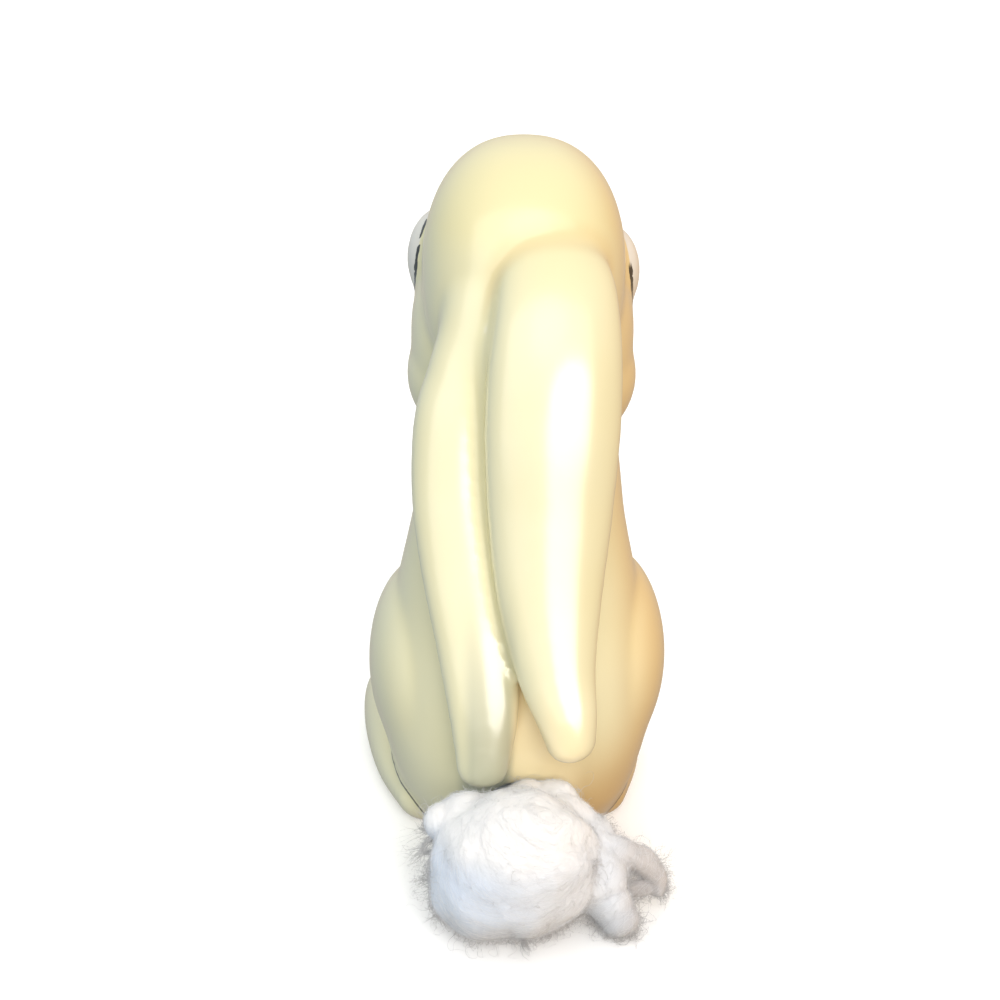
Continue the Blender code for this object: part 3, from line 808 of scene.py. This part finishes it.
# %% A group that draws an oval stroke
FRAYED, BROKEN = 420.0, 300.0  # how fine the noise is that frays the line, and that breaks it
GAP_ENDS = 0.35, 0.38
stroke, given, gives = new_group(
    "brush_oval",
    [("Place", "Vector", None), ("Middle", "Vector", None), ("Size", "Vector", (1, 1, 1)), ("Width", "Float", 0.05)],
    [("Inside", "Float"), ("Line", "Float")],
)
away = add(stroke, "ShaderNodeVectorMath", {0: given["Place"], 1: given["Middle"]}, operation="SUBTRACT")
away = add(stroke, "ShaderNodeVectorMath", {0: away.outputs[0], 1: given["Size"]}, operation="DIVIDE")
distance = add(stroke, "ShaderNodeVectorMath", {0: away.outputs[0]}, operation="LENGTH").outputs["Value"]
stroke.links.new(maths(stroke, "LESS_THAN", distance, 1.0), gives["Inside"])
off = maths(stroke, "ABSOLUTE", maths(stroke, "SUBTRACT", distance, 1.0))
thin = maths(stroke, "MULTIPLY", noise_map(stroke, given["Place"], FRAYED, 2.0), 2.0)
whole = ramp(stroke, noise_map(stroke, given["Place"], BROKEN, 0.0), *GAP_ENDS)
width = product(stroke, maths(stroke, "MULTIPLY", given["Width"], thin), whole)
stroke.links.new(maths(stroke, "LESS_THAN", off, width), gives["Line"])
print("brush strokes are", stroke.name)

# %% The painted marks
LEFT_OVAL = (29.0, -20.2, 148.6), (10.5, 8.8, 13.4)  # middle and half sizes, on the left half
RIGHT_OVAL = (29.0, -20.6, 145.0), (10.5, 9.0, 13.0)
PUPIL = (30.0, -22.6, 145.4), (9.0, 4.6, 6.2)
GLINT = (30.0, -24.2, 148.0), (9.0, 1.2, 1.4)
NOSE_PAINT = (0.0, -49.5, 132.4), (5.6, 7.5, 3.7)
turning = {"Vector": from_axis, "Angle": -HEAD_TURN}
straight = add(tree, "ShaderNodeVectorRotate", turning, rotation_type="Z_AXIS").outputs[0]
head = add(tree, "ShaderNodeSeparateXYZ", {0: straight}).outputs
half = maths(tree, "ABSOLUTE", head["X"])
folded = add(tree, "ShaderNodeCombineXYZ", {0: half, 1: head["Y"], 2: head["Z"]}).outputs[0]
is_left = maths(tree, "GREATER_THAN", head["X"], 0.0)
is_right = maths(tree, "SUBTRACT", 1.0, is_left)


def oval(form, width=0.0):
    """The inside and the line of an oval on the folded head."""
    middle, size = ([value * MM for value in row] for row in form)
    return place_group(tree, stroke, {"Place": folded, "Middle": middle, "Size": size, "Width": width})


def on_side(left, right):
    """A mask of the left eye and one of the right, each on its own half."""
    return maths(tree, "MULTIPLY_ADD", left, is_left, maths(tree, "MULTIPLY", right, is_right))


left_eye, right_eye = oval(LEFT_OVAL, 0.058), oval(RIGHT_OVAL, 0.066)
right_line = product(tree, right_eye["Line"], band(tree, z, 148, 146))
# painted shade: a dark line in the crease where each hind foot meets the body
foot_crease_shade = ramp(tree, maths(tree, "ABSOLUTE", reading("foot_joint")), 0.50, 0.22)
bare = maths(tree, "MAXIMUM", reading("inside"), band(tree, z, 0.9, 0.5))
MARKS = (  # share and colour
    (on_side(left_eye["Inside"], right_eye["Inside"]), (0.68, 0.65, 0.60)),
    (oval(PUPIL)["Inside"], (0.012, 0.009, 0.008)),
    (oval(GLINT)["Inside"], (0.80, 0.78, 0.74)),
    (on_side(left_eye["Line"], right_line), (0.006, 0.004, 0.004)),
    (product(tree, oval(NOSE_PAINT)["Inside"], 0.8), (0.62, 0.27, 0.22)),
    (product(tree, foot_crease_shade, 0.9), (0.045, 0.032, 0.015)),
    (bare, (0.80, 0.77, 0.70)),  # clay without glaze
)
for share, paint in MARKS:
    colour = mixed(tree, share, colour, paint)
tree.links.new(colour, surface["Base Color"])
tree.links.new(maths(tree, "SUBTRACT", 1.0, bare), surface["Coat Weight"])
tree.links.new(spread(tree, bare, least=0.30, most=0.85), surface["Roughness"])
ripple = place_group(tree, grain, {"Place": place, "Scale": 60.0, "Detail": 1.0})[0]
bumped(tree, surface, ripple, 0.10, 0.0006)
rabbit.data.materials.clear()
rabbit.data.materials.append(glaze)

castings = ["body_casting"]
castings += [side + "_" + part for side in ("left", "right") for part in ("ear", "foreleg", "hind_foot")]
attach(rabbit, "figure")
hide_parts(*castings)
print("the glaze has", len(tree.nodes), "nodes, and the skin stands for", len(castings), "castings")

# %% [markdown]
# ## Cotton wool
#
# The tail is one ball of cotton, drawn out of the hole and teased open. Hair could make it, but
# hair doesn't leave Blender with the model. So the wool has two layers: a closed soft body, melted
# from lumps and pushed about by noise, and many single fibres of thin mesh that lie on it or
# stand off it as fluff. The pulled wool swirls, so lumps and fibres follow one turning direction.

# %% Lumps of the pulled wool
WAD_LUMPS = (  # place, then size
    ((4.5, 61.0, 17.6), (41.0, 38.0, 35.0)),
    ((10.0, 62.5, 14.0), (31.0, 33.0, 27.0)),
    ((0.0, 44.5, 13.5), (26.0, 18.0, 18.0)),
    ((-1.0, 51.0, 23.0), (15.0, 14.0, 13.0)),
    ((-8.0, 50.5, 22.5), (16.0, 14.0, 13.0)),
    ((-14.0, 53.0, 18.5), (14.0, 14.0, 12.0)),
    ((0.5, 45.8, 24.3), (14.0, 11.0, 12.0)),
    ((-6.0, 45.8, 24.3), (14.0, 11.0, 12.0)),
    ((-13.0, 60.0, 13.0), (21.0, 20.0, 18.0)),
    ((16.0, 53.0, 23.6), (16.0, 17.0, 17.0)),
    ((21.0, 53.0, 24.6), (10.0, 10.0, 11.0)),
    ((-18.0, 65.0, 7.5), (11.5, 12.0, 12.0)),
    ((-20.0, 67.0, 4.9), (10.0, 10.5, 9.0)),
)
NECK = ((0.0, 36.1, 12.1, 6.7, 6.6), (0.0, 39.0, 12.2, 6.9, 6.8), (0.0, 44.0, 13.0, 8.0, 8.0))
ARM = (
    (-12.0, 56.0, 18.0, 6.5, 6.0),
    (-18.0, 57.5, 18.0, 4.5, 4.6),
    (-23.0, 57.0, 16.8, 3.5, 3.8),
    (-28.0, 56.0, 13.6, 3.2, 3.5),
    (-30.9, 56.0, 9.6, 2.7, 3.3),
    (-31.4, 57.0, 5.6, 1.7, 2.6),
)
BRIDGE = ((-19.5, 61.0, 8.5, 2.6, 3.4), (-24.7, 58.5, 7.2, 1.5, 2.2), (-30.0, 57.0, 7.0, 1.8, 2.4))
SWIRL_MIDDLE = (-3.0, 58.0, 31.0)
SWIRL_AXIS = Vector((0.15, 0.93, 0.35)).normalized()
WOOL_GRAIN = 0.55


def wad_forms(mesh):
    """The lumps of the wad, with its neck and the arm that is pulled out of it."""
    for place, size in WAD_LUMPS:
        egg(mesh, place, size, sides=32, rings=20)
    for stations in (NECK, ARM, BRIDGE):
        limb(mesh, stations, sides=20)


wad = built("pulled_wool", wad_forms, WOOL_GRAIN)
print("wool body:", len(wad.data.vertices), "points")

# %% Swirl and fluff the body
def swirl(points, middle, axis):
    """For each point: its distance from the swirl's axis, and the direction that circles it."""
    away = points - np.array(middle)
    axis = np.array(axis)
    flat = away - (away @ axis)[:, None] * axis
    radius = np.linalg.norm(flat, axis=1)[:, None]
    around = np.cross(axis, flat) / np.maximum(radius, MM)
    return radius, around


def fluffed(made, middle, axis, seed, slow=(7.0, 1.1), fine=(2.6, 0.08), strand=0.09, calm_within=14):
    """Pushes a wool body about, in slow lumps, finer ones and ridges that circle the axis."""
    points, edges, normals = mesh_arrays(made)
    points = relax(points, edges, 0.5, 4)
    radius, around = swirl(points, middle, axis)
    strands = np.hstack([radius / MM, around * 2.2])
    push = np.empty((len(points), 1))
    shift = Vector((seed * 17.3, seed * 5.1, 0.0))
    for index, (point, row) in enumerate(zip(points, strands)):
        here = Vector(point) / MM + shift
        push[index] = slow[1] * noise.noise(here / slow[0]) + fine[1] * noise.noise(here / fine[0])
        calm = min(1.0, row[0] / calm_within)
        push[index] += strand * calm * noise.noise(Vector((row[0] * 0.5, row[1] * 0.8 + seed, row[2] + row[3])))
    points += normals * push * MM
    keep_points(made, points)
    combed = np.hstack([radius / MM, around[:, :1] * 3, around[:, 2:] * 3])
    keep_values(made, "strand", "FLOAT_VECTOR", "vector", combed)
    return made


def pressed_clear(made, tree, gap=0.3, floor_gap=0.25, reach=6):
    """Moves points that are in the clay back out of it, and all of them off the shelf."""
    points, _, _ = mesh_arrays(made)
    moved = 0
    for index, point in enumerate(points):
        near, normal, _, distance = tree.find_nearest(Vector(point))
        depth = (near - Vector(point)).dot(normal)
        if depth > -gap * MM and (depth > 0 or distance < gap * MM) and distance < reach * MM:
            points[index] = near + normal * (gap * MM)
            moved += 1
    points[:, 2] = np.maximum(points[:, 2], floor_gap * MM)
    keep_points(made, points)
    return moved


middle = Vector(SWIRL_MIDDLE) * MM + Vector((0.0, AXIS_Y, 0.0))
fluffed(wad, middle, SWIRL_AXIS, 1)
print("points pressed off the clay:", pressed_clear(wad, search_tree(rabbit)))

# %% [markdown]
# A fibre is a line of points that walks over the wool, made into a tube with three sides. The
# lying fibres are pulled back onto the surface at every step. The loose ones start outwards and
# then curl. Neighbours read the same noise, so they bend together and form wisps.

# %% Random places and directions
random_state = np.random.default_rng(11)
noise.seed_set(5)  # without a seed, noise vectors change from run to run
ARM_FROM_X = -13.0
SMOOTH_FROM, SMOOTH_OVER = 0.10, 0.4  # how far a face has to turn to the smooth side
TOP_LOSS, TOP_OVER = 0.97, 0.5  # what falls away where a face looks up
TINY = 1e-12


def unit(vectors):
    """The same directions with length 1."""
    return vectors / np.maximum(np.linalg.norm(vectors, axis=-1, keepdims=True), TINY)


def sampled(made, count, smooth_side=None, left_there=1.0, on_arm=1.0):
    """Random points of a mesh, by area, with their normals. Fewer are left on its smooth side."""
    points, _, _ = mesh_arrays(made)
    made.data.calc_loop_triangles()
    corners = np.empty(len(made.data.loop_triangles) * 3, np.int64)
    made.data.loop_triangles.foreach_get("vertices", corners)
    triangles = points[corners.reshape(-1, 3)]
    crossed = np.cross(triangles[:, 1] - triangles[:, 0], triangles[:, 2] - triangles[:, 0])
    weight = np.linalg.norm(crossed, axis=1)
    out = unit(crossed)
    if smooth_side is not None:
        facing = np.clip((out @ np.array(smooth_side) - SMOOTH_FROM) / SMOOTH_OVER, 0, 1)
        weight *= 1 - (1 - left_there) * facing
        weight *= 1 - TOP_LOSS * np.clip(out[:, 2] / TOP_OVER, 0, 1)
    weight[triangles[:, 0, 0] < ARM_FROM_X * MM] *= on_arm
    pick = random_state.choice(len(triangles), count, p=weight / weight.sum())
    first, second = np.sort(random_state.random((2, count, 1)), axis=0)
    chosen = triangles[pick]
    place = chosen[:, 0] * first + chosen[:, 1] * (second - first) + chosen[:, 2] * (1 - second)
    return place, out[pick]


def wander(points, size, seed):
    """A slowly changing random direction at each point."""
    shift = Vector((seed * 3.7, 0.0, seed * 9.1))
    return np.array([noise.noise_vector(Vector(point) / (size * MM) + shift) for point in points])


def either_way(count):
    """1 or -1 for each fibre."""
    return np.where(random_state.random((count, 1)) < 0.5, -1.0, 1.0)


print("helpers: unit, sampled, wander, either_way")

# %% Lines of fibres
def lying(made, count, steps, step, middle, axis, seed):
    """Fibres that follow the swirl over the wool, and leave it a little at their ends."""
    tree = search_tree(made)
    here, out = sampled(made, count)
    side = either_way(count)
    own = random_state.normal(0.0, 0.28, (count, 3))
    lift = random_state.uniform(0.05, 0.35, (count, 1)) * MM
    lines = []
    for index in range(steps):
        share = index / (steps - 1)
        rise = lift * (1 + 3.0 * max(0.0, share - 0.6))
        lines.append(here + out * rise)
        _, around = swirl(here, middle, axis)
        way = around * side + own + 0.7 * wander(here, 5.0, seed)
        way = unit(way - (way * out).sum(axis=1)[:, None] * out)
        here = here + way * step * MM
        found = [tree.find_nearest(Vector(point)) for point in here]
        here = np.array([place for place, *_ in found])
        out = np.array([normal for _, normal, *_ in found])
    return np.stack(lines, axis=1)


def loose(made, count, steps, step, middle, axis, seed, outwards=0.8, on_smooth=0.12, on_arm=1.0):
    """Fibres that stand off the wool and curl."""
    here, out = sampled(made, count, axis if on_smooth < 1 else None, on_smooth, on_arm)
    _, around = swirl(here, middle, axis)
    side = either_way(count)
    way = unit(out * outwards + around * side * 0.5 + random_state.normal(0.0, 0.35, (count, 3)))
    reach = step * random_state.uniform(0.35, 1.25, (count, 1)) ** 1.3 * MM
    turn = unit(random_state.normal(0.0, 1.0, (count, 3)))
    lines = [here - out * 0.1 * MM]
    for index in range(steps - 1):
        here = here + way * reach
        lines.append(here)
        way = unit(way + 0.7 * np.cross(turn, way) + 1.2 * wander(here, 1.6, seed + index * 0.1))
    return np.stack(lines, axis=1)


def tuft(place, way, count, steps, step, scatter, seed):
    """A wisp: fibres that leave one place together and curl."""
    here = (np.array(place) + random_state.normal(0.0, scatter, (count, 3))) * MM + np.array([0.0, AXIS_Y, 0.0])
    way = unit(np.array(way) + random_state.normal(0.0, 0.22, (count, 3)))
    reach = step * random_state.uniform(0.4, 1.2, (count, 1)) * MM
    lines = [here]
    for index in range(steps - 1):
        here = here + way * reach
        lines.append(here)
        way = unit(way + 0.9 * wander(here, 2.2, seed + index * 0.1) + random_state.normal(0.0, 0.10, (count, 3)))
    return np.stack(lines, axis=1)


print("lines: lying, loose, tuft")

# %% Fibres as a mesh
def fibre_piece(name, lines, thickness, tip=0.4, sides=3):
    """Many thin tubes with three sides, in one mesh."""
    count, steps, _ = lines.shape
    lines = np.maximum(lines, np.array([-9.0, -9.0, 0.12 * MM]))  # none reaches into the shelf
    along = unit(np.gradient(lines, axis=1))
    wide = unit(np.cross(along, np.array([0.31, 0.52, 0.79])))
    thick = np.cross(along, wide)
    taper = (thickness * MM * np.linspace(1.0, tip, steps))[None, :, None, None]
    cosines, sines = (np.array([way(a) for a in turns(sides)])[None, None, :, None] for way in (math.cos, math.sin))
    rings = lines[:, :, None, :] + taper * (wide[:, :, None, :] * cosines + thick[:, :, None, :] * sines)
    faces = []
    for low in range(0, (steps - 1) * sides, sides):
        for side in range(sides):
            a, b = low + side, low + (side + 1) % sides
            faces += [(a, b, b + sides), (a, b + sides, a + sides)]
    last = (steps - 1) * sides
    faces += [(0, 2, 1), (last, last + 1, last + 2)]
    faces = (np.arange(count)[:, None, None] * steps * sides + np.array(faces)[None]).reshape(-1, 3)
    data = bpy.data.meshes.new(name)
    data.vertices.add(count * steps * sides)
    data.vertices.foreach_set("co", rings.ravel())
    data.loops.add(faces.size)
    data.loops.foreach_set("vertex_index", faces.ravel())
    data.polygons.add(len(faces))
    data.polygons.foreach_set("loop_start", np.arange(len(faces)) * 3)
    data.update(calc_edges=True)
    data.shade_smooth()
    return linked(name, data)


print("a fibre has three sides, because it is thinner than a pixel")

# %% [markdown]
# One length of fluff all over would look like fur. Teased wool has fine fuzz everywhere, short fluff
# where it was pulled open, and a few long fibres and wisps at its edge. Where a hand smoothed it
# and on top, little stands off, so the picture's front is clean and its outline is frayed.

# %% The fibres of the tail
LYING_COUNT = 2600
FLUFF = (  # name, fibres, steps, step, outwards, share on the smooth side, share on the arm, thickness
    ("fuzz", 5600, 5, 0.34, 0.45, 1.0, 1.6, 0.020),
    ("short_fluff", 4400, 7, 0.50, 0.8, 0.03, 3.0, 0.042),
    ("long_fluff", 2700, 12, 0.80, 0.8, 0.02, 2.0, 0.048),
)
LYING_SEED, FLUFF_SEED, TUFT_SEED, TUFT_THICKNESS = 1, 6, 21, 0.045
lines = lying(wad, LYING_COUNT, 9, 1.25, middle, SWIRL_AXIS, LYING_SEED)
tail_pieces = [wad, fibre_piece("lying_fibres", lines, 0.024)]
for seed, (name, count, steps, step, *shares, thickness) in enumerate(FLUFF, FLUFF_SEED):
    lines = loose(wad, count, steps, step, middle, SWIRL_AXIS, seed, *shares)
    tail_pieces.append(fibre_piece(name, lines, thickness))
TUFTS = (  # place, way, fibres, steps, step, scatter
    ((24.0, 54.0, 22.5), (1.0, 0.1, 0.1), 34, 12, 0.80, 0.5),
    ((24.5, 54.5, 20.5), (1.0, 0.1, -0.3), 42, 12, 1.00, 0.6),
    ((25.0, 55.0, 18.0), (0.9, 0.2, -0.7), 30, 10, 0.75, 0.6),
    ((25.0, 58.0, 12.0), (1.0, 0.3, -0.2), 26, 10, 0.70, 0.8),
    ((22.5, 64.0, 6.0), (0.9, 0.5, -0.2), 24, 9, 0.60, 0.8),
    ((3.5, 74.5, 4.5), (-0.1, 0.7, -0.3), 60, 8, 0.60, 0.6),
    ((-31.0, 57.0, 14.0), (-0.9, 0.1, 0.3), 40, 9, 0.60, 1.2),
    ((-31.5, 57.0, 6.0), (-0.8, 0.2, -0.3), 30, 9, 0.50, 0.8),
)
for number, row in enumerate(TUFTS):
    lines = tuft(*row, TUFT_SEED + number)
    tail_pieces.append(fibre_piece(f"tuft_{number + 1}", lines, TUFT_THICKNESS))
print("fibre pieces:", {made.name: len(made.data.polygons) for made in tail_pieces[1:]})

# %% [markdown]
# Wool is white, and matt, and light goes some way into it. Subsurface light softens the shadows
# between the lumps, sheen stands for the fibres that are too fine to build, and a bump along the
# swirl draws them. Its colour has painted light and shade: cool shade on the left, warm shade at the
# arm, light on top and shade below. The single fibres need neither bump nor depth. Those that stand
# off the wool are painted a little darker than those on it, as painted shade, because no light comes
# to them from the fibres around.

# %% The wool
wool, tree, surface = new_material(
    "cotton_wool",
    {
        "Roughness": 1.0,
        "Specular IOR Level": 0.1,
        "Sheen Weight": 0.2,
        "Sheen Roughness": 0.6,
        "Subsurface Weight": 0.7,
        "Subsurface Radius": (1.0, 1.0, 1.0),
        "Subsurface Scale": 0.0025,
    },
)
place = add(tree, "ShaderNodeTexCoord").outputs["Object"]
strand_here = add(tree, "ShaderNodeAttribute", attribute_name="strand").outputs["Vector"]
patches = place_group(tree, mottle, {"Place": place, "Scale": 130.0, "Amount": 0.6})[0]
x, _, z = add(tree, "ShaderNodeSeparateXYZ", {0: place}).outputs
leftwards = maths(tree, "MULTIPLY_ADD", patches, 20 * MM, x)
WOOL_PAINTED_LIGHT_AND_SHADE = (
    ((0.58, 0.63, 0.72), 1.0, (leftwards, -6, 22)),  # painted cool shade on the left
    ((0.49, 0.465, 0.46), 1.0, (x, -17, -27)),  # painted warm shade at the arm
    ((0.76, 0.75, 0.75), 1.0, (z, 21, 29)),  # painted light on top
    ((0.42, 0.42, 0.44), 0.9, (z, 12, 2)),  # painted shade below
)
colour = tinted(tree, (0.64, 0.655, 0.69), WOOL_PAINTED_LIGHT_AND_SHADE)
tree.links.new(colour, surface["Base Color"])
combed = place_group(tree, grain, {"Place": strand_here, "Scale": 1.6, "Detail": 3.0})[0]
tufts = place_group(tree, grain, {"Place": place, "Scale": 700.0, "Detail": 3.0})[0]
height = maths(tree, "ADD", combed, maths(tree, "MULTIPLY", tufts, 0.6))
bumped(tree, surface, height, 0.14, 0.0005)


def fibre_material(name, dark, pale):
    """Wool for single fibres."""
    made, tree, surface = new_material(name, {"Roughness": 0.9, "Specular IOR Level": 0.15})
    place = add(tree, "ShaderNodeTexCoord").outputs["Object"]
    patches = place_group(tree, mottle, {"Place": place, "Scale": 260.0, "Amount": 1.2})[0]
    tree.links.new(mixed(tree, maths(tree, "ADD", patches, 0.5), dark, pale), surface["Base Color"])
    return made


fibre = fibre_material("cotton_fibre", (0.76, 0.77, 0.80), (0.84, 0.84, 0.86))
# painted shade: the fluff that stands off the wool is darker than the fibres on it
fluff_end = fibre_material("cotton_fluff", (0.46, 0.455, 0.47), (0.68, 0.67, 0.67))
painted = {"pulled_wool": wool, "lying_fibres": fibre, "fuzz": fibre}
for made in tail_pieces:
    made.data.materials.clear()
    made.data.materials.append(painted.get(made.name, fluff_end))
    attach(made, "tail")
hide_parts("cotton_tail")
print("the tail is", len(tail_pieces), "pieces")

# %% [markdown]
# The balls inside are loose rolled wool: nearly round, a little lumpy, with a short fluff. One ball
# is made for each place that the plain model gives, and each is lumped and turned in its own way.

# %% Balls in the chamber
def wool_ball(name, low, high, seed):
    """A lumpy ball in a box, with its own fluff."""
    middle = (low + high) / 2
    radius = min(high - low) / 2
    mesh = bmesh.new()
    bmesh.ops.create_icosphere(mesh, subdivisions=5, radius=radius * 0.97)
    bmesh.ops.translate(mesh, verts=mesh.verts, vec=middle)
    made = new_piece(name, mesh)
    axis = Vector((math.sin(seed * 2.4), math.cos(seed * 2.4), 0.4)).normalized()
    fluffed(made, middle, axis, seed, slow=(5.0, 0.9), fine=(2.0, 0.25), strand=0.2)
    points, _, _ = mesh_arrays(made)
    away = points - np.array(middle)
    length = np.linalg.norm(away, axis=1)[:, None]
    keep_points(made, np.array(middle) + away * np.minimum(1.0, (radius - 0.1 * MM) / length))
    short = loose(made, 420, 4, 0.35, middle, axis, seed, outwards=0.3)
    return made, fibre_piece(name + "_fluff", short, 0.04)


ball_count = 0
for body, nodes in frame["record"]["behaviour"]["bodies"].items():
    for node in nodes:
        if not node.startswith("cotton_ball"):
            continue
        ball_count += 1
        low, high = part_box(node)
        made, fluff = wool_ball("wool_" + node, low, high, ball_count)
        made.data.materials.append(wool)
        fluff.data.materials.append(fibre)
        for piece in (made, fluff):
            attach(piece, body)
        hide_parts(node)
print(ball_count, "balls of wool")

# %% [markdown]
# ## The rubber bung
#
# A bung is moulded rubber: a tapered plug on a round flange, with a dimple to pull it by. It could
# be turned as a mesh by hand. Here its profile is one line of points with every corner rounded, spun
# round the axis, because a moulded edge is never sharp and a rounded one catches the light.

# %% Turn the bung
bung_top, bung_under = (bung_high.z / MM, bung_low.z / MM)
FLANGE_TOP, DIMPLE, DIMPLE_TOP = 1.7, 6.5, bung_under + 3.0
PLUG_FOOT, PLUG_TOP, FLANGE = 10.45, 9.65, (bung_high.x - bung_low.x) / 2 / MM
PROFILE = (  # radius, height and the rounding of that corner
    (0.0, bung_top, 0.0),
    (PLUG_TOP, bung_top, 0.8),
    (PLUG_FOOT, FLANGE_TOP, 0.25),
    (FLANGE, FLANGE_TOP, 0.35),
    (FLANGE, bung_under, 0.35),
    (DIMPLE, bung_under, 0.5),
    (DIMPLE, DIMPLE_TOP, 0.9),
    (0.0, DIMPLE_TOP, 0.0),
)


def rounded_line(corners, steps=5):
    """A line through corners, each rounded by a distance of its own."""
    line = []
    for index, (x, y, bend) in enumerate(corners):
        here = Vector((x, y))
        if not bend:
            line.append(here)
            continue
        before, after = (Vector(corners[index + step][:2]) for step in (-1, 1))
        start = here + (before - here).normalized() * bend
        end = here + (after - here).normalized() * bend
        for step in range(steps + 1):
            share = step / steps
            line.append(start * (1 - share) ** 2 + here * 2 * share * (1 - share) + end * share**2)
    return line


SPIN_STEPS = 96
rows = [[(p.x * math.cos(a), p.x * math.sin(a), p.y) for a in turns(SPIN_STEPS)] for p in rounded_line(PROFILE)[1:-1]]
bung = built("rubber_bung", lambda mesh: loft(mesh, rows))
bung.data.set_sharp_from_angle(angle=math.radians(50))

rubber, tree, surface = new_material("grey_rubber", {})
place = add(tree, "ShaderNodeTexCoord").outputs["Object"]
bloom = place_group(tree, mottle, {"Place": place, "Scale": 180.0, "Amount": 1.4})[0]
bloom = maths(tree, "ADD", bloom, 0.5)
tree.links.new(mixed(tree, bloom, (0.23, 0.22, 0.21), (0.33, 0.32, 0.31)), surface["Base Color"])
tree.links.new(spread(tree, bloom, least=0.48, most=0.68), surface["Roughness"])
pores = place_group(tree, grain, {"Place": place, "Scale": 2600.0, "Detail": 2.0})[0]
bumped(tree, surface, pores, 0.2, 0.0001)
bung.data.materials.append(rubber)
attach(bung, "bung")
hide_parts("filler_bung")
print("bung of", len(bung.data.polygons), "faces")

# %% The boxes of the plain and the dressed model
sizes = {"cad": [list(corner) for corner in cad_box], "visual": [list(corner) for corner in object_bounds()]}
